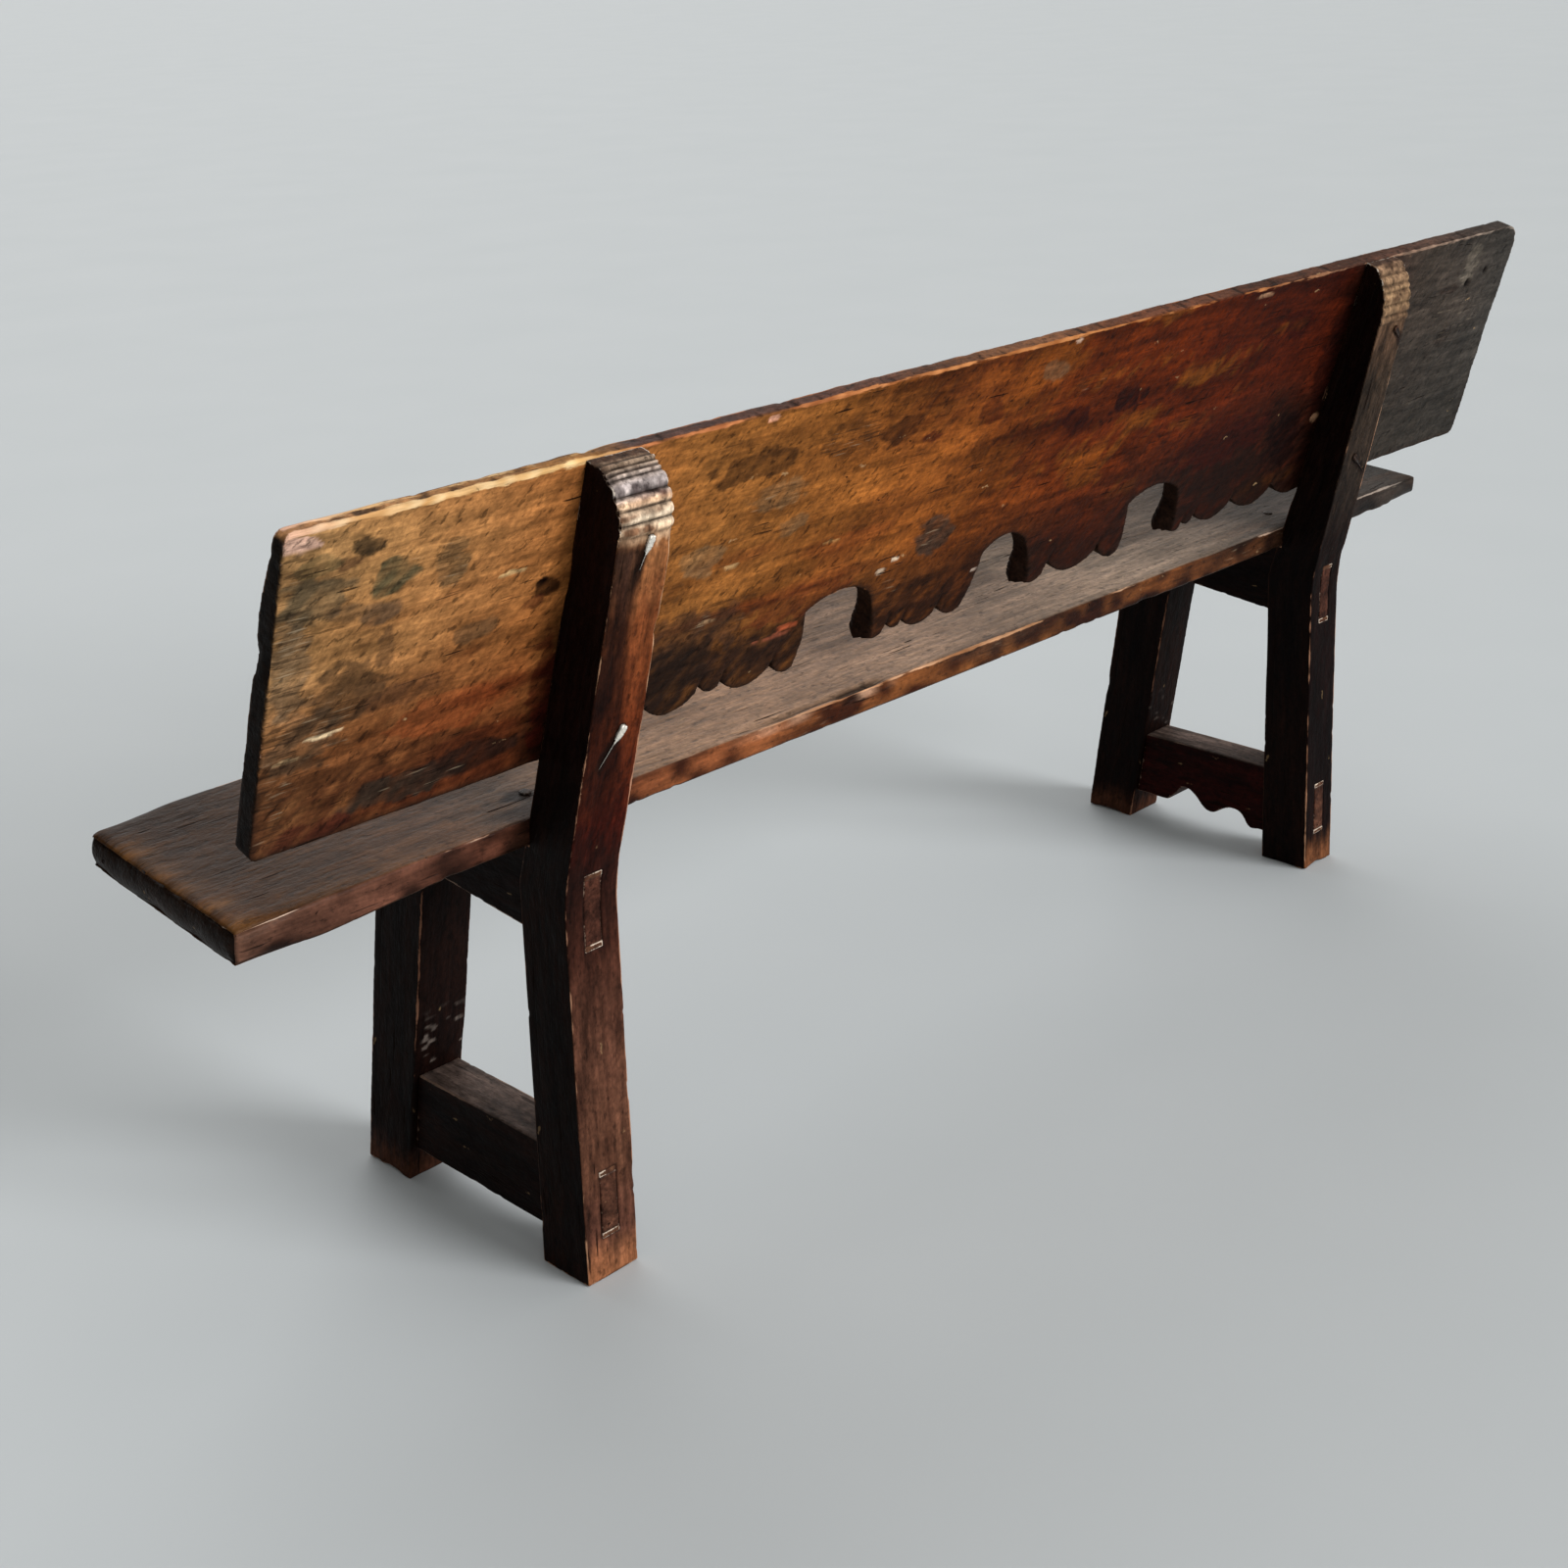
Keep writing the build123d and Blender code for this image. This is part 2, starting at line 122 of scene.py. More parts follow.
def laid(under, over, share):
    """One colour laid over another by this share; each is a hex code or linear light."""
    under, over = (linear(colour) if isinstance(colour, str) else colour for colour in (under, over))
    share = np.asarray(share)[:, None]
    return under * (1 - share) + over * share


def tones(value, stops, mix):
    """Colour along a run of stops (place, lighter, darker); mix 1 gives the lighter one."""
    places = np.array([stop[0] for stop in stops])
    order = np.argsort(places)
    sides = []
    for column in (1, 2):
        colours = np.array([linear(stop[column]) for stop in stops])[order]
        sides.append(np.stack([np.interp(value, places[order], colours[:, k]) for k in range(3)], axis=1))
    return laid(sides[1], sides[0], mix)


# Worn copies of the CAD timbers

# The most of a remesh's octree that a piece fills
OCTREE_FILL = 0.95


def remeshed(node, step):
    """An even, fine mesh over a CAD piece that keeps its corners; step is the size of its faces."""
    piece = bpy.data.objects.new("remesh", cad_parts[node].data.copy())
    scene.collection.objects.link(piece)
    remesh = piece.modifiers.new("remesh", "REMESH")
    remesh.mode = "SHARP"
    cells = max(piece.dimensions) / (step * MM)
    remesh.octree_depth = ceil(log2(cells / OCTREE_FILL))
    remesh.scale = cells / 2 ** remesh.octree_depth
    remesh.use_remove_disconnected = False
    shown = piece.evaluated_get(bpy.context.evaluated_depsgraph_get())
    mesh = bpy.data.meshes.new_from_object(shown)
    bpy.data.objects.remove(piece)
    mesh.materials.clear()
    return mesh


def nearest(samples, points):
    """Distance from each point to the nearest sample."""
    tree = KDTree(len(samples))
    for number, sample in enumerate(samples):
        tree.insert(sample, number)
    tree.balance()
    return np.array([tree.find(point)[2] for point in points])


def edge_distances(node, points, sharp=radians(24), step=1.5):
    """How far each point lies from the nearest outer arris and from the nearest inner corner."""
    work = bmesh.new()
    work.from_mesh(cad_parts[node].data)
    bmesh.ops.remove_doubles(work, verts=work.verts, dist=1e-6)
    found = {True: [], False: []}
    for edge in work.edges:
        if len(edge.link_faces) == 2 and edge.calc_face_angle() > sharp:
            start, end = (vertex.co / MM for vertex in edge.verts)
            count = max(1, round((end - start).length / step))
            found[edge.is_convex] += [start.lerp(end, i / count) for i in range(count + 1)]
    work.free()
    far = np.full(len(points), FAR_OFF)
    return [nearest(found[side], points) if found[side] else far for side in (True, False)]


def eased(places, edges, passes):
    """Mesh places with their sharp corners rubbed round."""
    count = np.bincount(edges.ravel(), minlength=len(places))[:, None]
    for _ in range(passes):
        total = np.zeros_like(places)
        for k in range(3):
            total[:, k] += np.bincount(edges[:, 0], places[edges[:, 1], k], len(places))
            total[:, k] += np.bincount(edges[:, 1], places[edges[:, 0], k], len(places))
        places = places + 0.5 * (total / count - places)
    return places


def worn_piece(node, step, passes, along, weather, material, shape=None):
    """A worn copy of a CAD piece that stands for it. shape, if given, moves the mesh's places first.

    along gives each point's place in the timber's own directions: along the grain, across it, through it.
    weather takes those places, normals by axis and edge distances, and gives how far each point moves out,
    its colour, its rubbed colour, how much it is rubbed and how torn its fibres are.
    """
    mesh = remeshed(node, step)
    places = np.zeros(len(mesh.vertices) * 3)
    mesh.vertices.foreach_get("co", places)
    places = places.reshape(-1, 3) / MM
    edges = np.zeros(len(mesh.edges) * 2, np.int32)
    mesh.edges.foreach_get("vertices", edges)
    edges = edges.reshape(-1, 2)
    arris, hollow = edge_distances(node, places)
    places = eased(places, edges, passes)
    if shape:
        places = shape(places)
    mesh.vertices.foreach_set("co", (places * MM).ravel())
    mesh.update()
    normals = np.zeros(len(mesh.vertices) * 3)
    mesh.vertex_normals.foreach_get("vector", normals)
    normals = normals.reshape(-1, 3)
    grain = along(places)
    out, tint, rubbed, rub, torn = weather(grain, places, normals.T, arris, hollow)
    mesh.vertices.foreach_set("co", ((places + normals * out[:, None]) * MM).ravel())
    for name, colour in (("tint", tint), ("rubbed", rubbed)):
        layer = mesh.attributes.new(name, "FLOAT_COLOR", "POINT")
        colour = np.broadcast_to(colour, places.shape)
        layer.data.foreach_set("color", np.column_stack([colour, np.ones(len(places))]).ravel())
    mesh.attributes.new("grain", "FLOAT_VECTOR", "POINT").data.foreach_set("vector", grain.ravel())
    for name, share in (("rub", rub), ("torn", torn)):
        mesh.attributes.new(name, "FLOAT", "POINT").data.foreach_set("value", unit(share))
    mesh.update()
    mesh.shade_smooth()
    mesh.materials.append(material)
    piece = bpy.data.objects.new(node + "_worn", mesh)
    scene.collection.objects.link(piece)
    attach(piece, "root")
    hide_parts(node)


# Places in each timber's own directions

def along_back(places):
    """X from the middle of the bench, drop below the plank's top edge, distance in front of its rear face."""
    y, z = places[:, 1] - back_high.y, places[:, 2] - BACK_TOP
    s, c = sin(BACK_LEAN), cos(BACK_LEAN)
    return np.column_stack([places[:, 0] - MIDDLE, -(y * s + z * c), z * s - y * c])


def along_seat(places):
    """X from the middle of the bench, distance in front of the rear edge, height above the top face."""
    y, z = places[:, 1] - seat_high.y, places[:, 2] - SEAT_REAR_TOP
    s, c = sin(SEAT_TILT), cos(SEAT_TILT)
    return np.column_stack([places[:, 0] - MIDDLE, z * s - y * c, y * s + z * c])


def along_post(side, places):
    """Length up a rear post, distance behind its front face, distance from its middle."""
    above = np.maximum(places[:, 2] - KNEE_HEIGHT, 0)
    front = POST_FRONT + above * tan(BACK_LEAN)
    up = np.minimum(places[:, 2], KNEE_HEIGHT) + above / cos(BACK_LEAN)
    return np.column_stack([up, places[:, 1] - front, places[:, 0] - FRAME_PLACE[side]])


def along_leg(side, places):
    """Length up a front leg, distance behind its front face, distance from its middle."""
    front = leg_low.y + places[:, 2] * tan(LEG_RAKE)
    return np.column_stack([places[:, 2], places[:, 1] - front, places[:, 0] - FRAME_PLACE[side]])


def along_rail(side, places):
    """Length back along a rail, height, distance from its middle."""
    return np.column_stack([places[:, 1], places[:, 2], places[:, 0] - FRAME_PLACE[side]])


# Back plank: golden walnut, paler towards the right end, darker and redder towards the left post,
# greyed past it. Stops are X from the middle.
BACK_TONES = (
    (920, "#bd915f", "#5f4126"), (860, "#b98854", "#5e3b1f"), (720, "#b87c47", "#64391c"),
    (640, "#a86a37", "#4a240e"), (480, "#a56a33", "#4b270d"), (330, "#a3642c", "#4b260c"),
    (200, "#9d5a24", "#481f0a"), (60, "#834216", "#350f05"), (-60, "#6e2d0b", "#290903"),
    (-250, "#602205", "#200602"), (-450, "#521a05", "#1a0402"), (-560, "#431405", "#150302"),
    (-640, "#4f3a30", "#231812"), (-720, "#4e4239", "#28221d"), (-945, "#45403b", "#24211e"),
)
# Along the top face, which is cracked and darker between the posts
BACK_TOP_TONES = (
    (920, "#a67850", "#60402a"), (640, "#a0703f", "#5a381c"), (590, "#57403a", "#2a1c19"),
    (250, "#6b4637", "#33201a"), (80, "#9a6a48", "#4d2c1c"), (-100, "#73452f", "#351d13"),
    (-600, "#5c3c2e", "#2b1a14"), (-945, "#4d453f", "#2a2521"),
)
# Where the arris is rubbed
BACK_RUBBED_TONES = (
    (920, "#e6b9a0", "#c99178"), (850, "#ecc796", "#cd9860"), (640, "#ecc893", "#c9954f"),
    (560, "#c0774a", "#8f5230"), (100, "#c98752", "#95572a"), (-300, "#b06f3c", "#80451f"),
    (-600, "#a07a62", "#6d5546"), (-945, "#8d8379", "#655c54"),
)
# Darker towards the back's lower edge
LOWER_EDGE_DARK = "#1c0d08"
# Painted shadow of the posts on the back's rear face beside them
PAINTED_POST_SHADOW = "#190703"
SAWN_EDGE = linear("#24160f")
# The back's right end face, painted near-black as in shade
RIGHT_END_SHADE = "#0d0806"
# What the wear below the right end's middle leaves of red, green and blue
RUDDY = np.array([0.78, 0.58, 0.52])
# Stains on the rear face as (X, drop, width, height, strength, colour)
BACK_STAINS = (
    (837, 28, 30, 18, 0.92, "#2f2519"), (811, 59, 44, 34, 0.9, "#46432f"),
    (854, 38, 26, 10, 0.75, "#4a3020"), (881, 34, 40, 16, 0.7, "#5a4d32"),
    (885, 62, 66, 40, 0.75, "#4a4232"), (852, 81, 40, 15, 0.75, "#503c2a"),
    (818, 89, 36, 20, 0.8, "#47372a"), (756, 63, 30, 46, 0.65, "#574630"),
    (652, 113, 30, 19, 1.0, "#0d0302"), (664, 124, 26, 12, 0.8, "#35120a"),
    (725, 134, 40, 18, 0.7, "#4f3b28"), (812, 124, 16, 46, 0.7, "#453020"),
    (841, 156, 66, 50, 0.75, "#3a2a1c"), (790, 172, 70, 24, 0.6, "#4a3020"),
    (900, 119, 36, 80, 0.6, "#5a4c3c"), (880, 190, 60, 60, 0.65, "#483829"),
    (775, 266, 120, 26, 0.85, "#2a221b"), (700, 262, 100, 28, 0.88, "#1d110c"),
    (640, 215, 26, 130, 0.7, "#3a0d06"), (872, 280, 90, 18, 0.7, "#3b1710"),
    (740, 205, 120, 40, 0.4, "#7a3416"), (425, 51, 104, 30, 0.8, "#3a220f"),
    (307, 52, 76, 36, 0.55, "#4b2a10"), (232, 56, 60, 36, 0.88, "#2c1408"),
    (182, 72, 30, 16, 0.8, "#38110a"), (383, 88, 72, 26, 0.6, "#75583a"),
    (361, 125, 36, 22, 0.6, "#66523a"), (141, 190, 50, 46, 0.85, "#3c2e25"),
    (97, 62, 40, 28, 0.75, "#3f1507"), (-56, 102, 46, 27, 0.95, "#220604"),
    (-140, 96, 62, 32, 0.95, "#1d0504"), (3, 33, 42, 22, 0.5, "#6b5640"),
    (471, 138, 50, 34, 0.55, "#6b5a42"), (470, 215, 130, 60, 0.7, "#33221a"),
    (505, 252, 150, 76, 0.85, "#1c110c"), (395, 262, 120, 44, 0.7, "#281811"),
    (330, 215, 130, 30, 0.6, "#52200f"), (-300, 60, 60, 24, 0.65, "#380f04"),
    (-457, 58, 66, 38, 0.8, "#2a0703"), (-362, 190, 170, 60, 0.7, "#2f0a05"),
    (-501, 213, 70, 74, 0.92, "#120403"), (-560, 120, 60, 120, 0.75, "#1d0603"),
    (-806, 70, 50, 12, 0.65, "#251610"), (-831, 140, 40, 26, 0.6, "#2a201b"),
    (-845, 40, 36, 58, 0.5, "#6b6256"),
)
# Places where the old surface has broken away to paler wood, as (X, drop, width, height, strength, colour)
BACK_BREAKS = (
    (691, 89, 26, 4.5, 0.7, "#bfa373"), (334, 240, 34, 9, 0.7, "#9a4a2c"),
    (352, 246, 50, 4, 0.6, "#8a4a34"), (452, 203, 30, 3.5, 0.6, "#a98865"),
    (430, 150, 26, 3.5, 0.5, "#b09468"), (300, 158, 24, 4, 0.45, "#b8925c"),
    (215, 212, 12, 5, 0.7, "#c9b39a"), (196, 203, 9, 5, 0.7, "#cfc0a8"), (61, 249, 12, 5, 0.8, "#d8c0ae"),
    (414, 6, 14, 6, 0.8, "#d99f84"), (-25, 6, 12, 4, 0.7, "#d9b9a2"), (-360, 9, 30, 5, 0.6, "#b98d6c"),
    (-562, 200, 16, 12, 0.7, "#9a7458"), (-572, 168, 9, 24, 0.6, "#7d5a48"),
    (862, 190, 30, 3.5, 0.75, "#d8bf98"), (893, 203, 26, 3, 0.6, "#b89a72"),
    (900, 12, 34, 13, 0.75, "#dfb5a2"),
)
# Where fibres are torn up into fine lines, as (X, drop, width, height, strength)
BACK_TEARS = (
    (908, 150, 50, 330, 0.75), (875, 190, 90, 70, 0.55), (756, 63, 34, 46, 0.5), (811, 59, 44, 34, 0.45),
    (760, 266, 110, 24, 0.55), (383, 92, 74, 26, 0.45), (300, 48, 80, 30, 0.8), (150, 186, 40, 30, 0.6),
    (205, 236, 40, 24, 0.5), (430, 205, 90, 24, 0.5), (-60, 60, 60, 18, 0.5), (-845, 120, 120, 90, 0.3),
)
NAIL_HOLES = ((-891, 56, 9), (-852, 68, 11), (560, 44, 7))
# The left side of each arch is cut on the skew: its foot flares out at the front. X of shoulder and foot.
ARCH_LEFT_SIDES = ((226, 207), (-16, -40), (-292, -305))
BACK_ENDS = (-954.5, 920.5)
BACK_WIDTHS = (301.0, 290.0)
# The adze marks lean: their length runs up towards the left end
ADZE_LEAN = radians(38.0)
# How far the painted shade of each tool mark is shifted from its painted highlight, in mm
TOOL_MARK_SHADE_SHIFT = np.array([2.0, 3.0, 0.0])
# Cusps between the lobes as (X, rise above the plank's lower edge); each is scored a little further up
LOBE_CUSPS = (
    (515, 21), (443, 18), (415, 15.5), (349, 17), (186, 15), (162, 12), (109, 15),
    (-72, 20), (-160, 18.5), (-324, 10), (-347, 13), (-422, 17), (-508, 18),
)


def leaning(grain):
    """The plank's places turned to run along the adze marks."""
    s, c = sin(ADZE_LEAN), cos(ADZE_LEAN)
    x, drop, front = grain.T
    return np.column_stack([x * c + drop * s, drop * c - x * s, front])


def spot(grain, x, drop, width, height, seed, rim=0.18):
    """A patch with a ragged rim: 1 inside, 0 outside."""
    across = (grain[:, 0] - x) / (width / 2)
    down = (grain[:, 1] - drop) / (height / 2)
    ragged = 0.32 * mottle(grain, (16, 9, 40), seed) + 0.2 * mottle(grain, (7, 5, 40), seed + 7)
    return ramp(np.hypot(across, down) + ragged, 1 + 0.5 * rim, 1 - 0.5 * rim)


def knocks(places, arris, reach, seed):
    """Depth of the knocks along the arrises: a few dents and small nicks, the rest left straight."""
    dents = ramp(mottle(places, (45,) * 3, seed), 0.4, 0.85)
    nicks = ramp(mottle(places, (12,) * 3, seed + 1), 0.45, 0.9)
    return close_to(arris, reach) * (2.2 * dents + nicks)


def weather_back(grain, places, normals, arris, hollow):
    x, drop, front = grain.T
    rear = ramp(front, 12, 6)
    adzed = leaning(grain)
    broad = mottle(grain, (120, 50, 40), 1)
    cloud = mottle(adzed, (46, 22, 40), 2)
    streak = mottle(grain, (80, 9, 25), 3)
    fine = mottle(adzed, (17, 7, 20), 4)
    mix = unit(0.6 + 0.26 * broad + 0.16 * cloud + 0.2 * streak + 0.12 * fine)
    along = x + 30 * broad
    gradual = 0.8 * x + 60 * broad - 30 * cloud
    tint = tones(gradual + (along - gradual) * rear, BACK_TONES, mix)
    for lump, seed, share in (((90, 34, 40), 5, 0.5), ((34, 12, 40), 14, 0.4)):
        smudge = ramp(mottle(grain, lump, seed) + 0.3 * fine, 0.3, 0.62)
        tint = laid(tint, 0.42 * tint, share * smudge)
    red = ramp(mottle(grain, (140, 20, 40), 6), 0.2, 0.8) * ramp(drop, 90, 190)
    left_end = ramp(x, -600, -640)
    tint = laid(tint, "#6e2a12", 0.4 * red * (1 - left_end))
    gold = ramp(mottle(grain, (90, 30, 40), 17) + 0.3 * fine, 0.15, 0.6)
    gold *= ramp(x, 150, -60) * (1 - left_end)
    tint = laid(tint, "#824c17", 0.36 * gold)

    # Darker towards the lower edge, and a painted shadow of the posts on the rear face beside them
    left = ramp(x, -100, -420) * ramp(x, -640, -600)
    overhang = ramp(abs(x), 625, 680)
    start = 168 - 50 * left - 46 * overhang
    low = ramp(drop + 26 * broad + 14 * cloud, start, start + 95 + 55 * overhang)
    lower_dark = laid(laid(LOWER_EDGE_DARK, "#3a1c10", overhang), "#2c2823", left_end)
    low *= 1 - 0.3 * left_end
    tint = laid(tint, lower_dark, low * (0.92 + 0.05 * left - 0.1 * overhang) * unit(0.95 + 0.3 * fine))
    ruddy = ramp(drop + 22 * broad + 12 * streak, 110, 210) * ramp(x, 625, 680)
    tint = laid(tint, tint * RUDDY, 0.8 * ruddy)
    # Painted shadow of each post on the rear face beside it, only lower down beside the right post
    for side, reach in ((1, 24), (-1, 46)):
        gap = abs(x - side * FRAME_OFF_MIDDLE) - POST_HALF_WIDTH + 9 * streak + 5 * fine
        shadowed_part = ramp(drop, 110, 200) if side == 1 else 1
        tint = laid(tint, PAINTED_POST_SHADOW, 0.85 * shadowed_part * rear * ramp(gap, reach, 2))
    for number, (at, down, width, height, strength, colour) in enumerate(BACK_STAINS):
        patch = spot(grain, at, down, width, height, 20 + number) * strength * (0.35 + 0.65 * rear)
        tint = laid(tint, colour, patch * unit(0.85 + 0.3 * fine))

    # Painted shade on one side of each tool mark and a painted highlight on the other, as if lit from one side
    crowded = ramp(mottle(grain, (150, 60, 40), 18), -0.1, 0.5)
    for tool, lump, seed, depth in ((adzed, (40, 17, 40), 15, 0.26), (grain, (26, 8, 40), 16, 0.3)):
        lit, shaded_side = (ramp(mottle(tool + shift, lump, seed), 0.15, 0.4) for shift in (0, TOOL_MARK_SHADE_SHIFT))
        tint = tint * (1 + depth * crowded * (lit - shaded_side))[:, None]

    # Adze hollows, then tears, holes and the splintered right end
    out = 0.5 * mottle(grain, (80, 40, 60), 7)
    out += 0.45 * mottle(adzed, (36, 14, 60), 8) + 0.32 * fine
    deep, torn = np.zeros((2, len(grain)))
    for number, (at, down, width, height, strength, colour) in enumerate(BACK_BREAKS):
        patch = spot(grain, at, down, width, height, 90 + number) * rear
        tint = laid(tint, colour, patch * strength)
        deep += patch
    for number, (at, down, width, height, strength) in enumerate(BACK_TEARS):
        torn = np.maximum(torn, strength * rear * spot(grain, at, down, width, height, 120 + number))
    for at, down, size in NAIL_HOLES:
        patch = ramp(np.hypot(x - at, drop - down), size * 0.75, size * 0.35) * rear
        tint = laid(tint, "#0c0806", patch)
        deep += 3.0 * patch
    deep += 0.5 * torn * ramp(mottle(grain, (40, 6, 30), 9), 0.0, 0.5)

    # The cusps are scored, with painted shade in the scores, and the arches' left feet flare towards the front
    rise = np.interp(x, BACK_ENDS, BACK_WIDTHS) - drop
    for at, height in LOBE_CUSPS:
        lean = 0.3 * (rise - height)
        score = ramp(abs(x - at + lean), 3.2, 1.2) * ramp(rise, height + 20, height + 4)
        tint = laid(tint, "#0f0604", 0.8 * score * rear)
        deep += 1.2 * score * rear
    sideways = ramp(normals[0], 0.3, 0.8)
    downwards = ramp(normals[2], -0.3, -0.8)
    forward = unit(front / BACK_THICKNESS)
    for shoulder, foot in ARCH_LEFT_SIDES:
        near = ramp(abs(x - (shoulder + foot) / 2), 28, 18) * ramp(rise, 52, 8)
        out += 8 * near * forward * sideways + 4 * near * forward * downwards

    # Sawn and carved edges are dark, the right end face is painted near-black as in shade, the top face is
    # cracked across
    face = abs(normals[1] * cos(BACK_LEAN) - normals[2] * sin(BACK_LEAN))
    upward = normals[1] * sin(BACK_LEAN) + normals[2] * cos(BACK_LEAN)
    edge = ramp(face, 0.8, 0.5)
    top = edge * ramp(upward, 0.2, 0.6)
    tint = laid(tint, SAWN_EDGE * (1 + 0.4 * fine[:, None]), 0.9 * edge * (1 - top))
    tint = laid(tint, RIGHT_END_SHADE, 0.9 * ramp(normals[0], 0.5, 0.8) * overhang)
    tint = laid(tint, SAWN_EDGE, 0.7 * close_to(arris, 5) * ramp(drop, 205, 225))
    torn *= 1 - edge
    tint = laid(tint, tones(x + 25 * broad, BACK_TOP_TONES, mix), top)
    split = ramp(mottle(grain, (8, 60, 26), 10), 0.45, 0.75) * top
    tint = laid(tint, "#22130c", 0.75 * split)
    deep += 0.5 * split + knocks(places, arris, 5, 11) * ramp(drop, 240, 200)

    # The arrises are rubbed: a broad cream band along the top at the right, thin and broken elsewhere
    high = ramp(drop, 16, 4) * ramp(front, 14, 8)
    right = ramp(x, 575, 640)
    rubbed = tones(x, BACK_RUBBED_TONES, unit(0.55 + 0.6 * fine))
    rub = close_to(arris, 1.8 + 1.5 * high * right + high)
    rub *= unit(0.5 + 0.5 * mottle(grain, (60, 20, 20), 13) + 0.2 * high + 0.4 * high * right)
    rub *= (1 - 0.8 * low) * (1 - 0.7 * sideways)
    return out - deep, tint, rubbed, rub, torn


# Seat: the same walnut, greyed and polished by use; its rear edge keeps a redder brown
SEAT_TONES = (
    (930, "#563418", "#1f1108"), (840, "#4f3116", "#1f1208"), (700, "#6b4b36", "#352416"),
    (600, "#735a48", "#3e2e23"), (500, "#9d7a60", "#5e4835"), (300, "#a58166", "#644c3a"),
    (0, "#9a7d67", "#5d4a3c"), (-300, "#99826f", "#5b4e41"), (-620, "#564b44", "#302925"),
    (-905, "#2f2a26", "#191614"),
)
SEAT_EDGE_TONES = (
    (930, "#7c5746", "#2c1a12"), (880, "#6a4637", "#24140e"), (600, "#5f3526", "#22100a"),
    (520, "#834a2c", "#34160a"), (420, "#8a4f2e", "#38180a"), (150, "#875029", "#351506"),
    (-100, "#774723", "#2c1107"), (-350, "#683a1b", "#240e05"), (-620, "#3c281d", "#180e0a"),
    (-905, "#3a342f", "#1c1816"),
)
SEAT_UNDER_TONES = ((930, "#4a3223", "#281910"), (-905, "#45372e", "#261d18"))
SEAT_RUBBED_TONES = (
    (930, "#dcc2ae", "#b08a72"), (420, "#d9a986", "#a06c49"), (-100, "#c3936d", "#8d5f3c"),
    (-905, "#a59b92", "#7d746c"),
)
# The split along its rear arris
SPLIT_START, SPLIT_END = 140, 400
SEAT_END_SWELL = 9.0


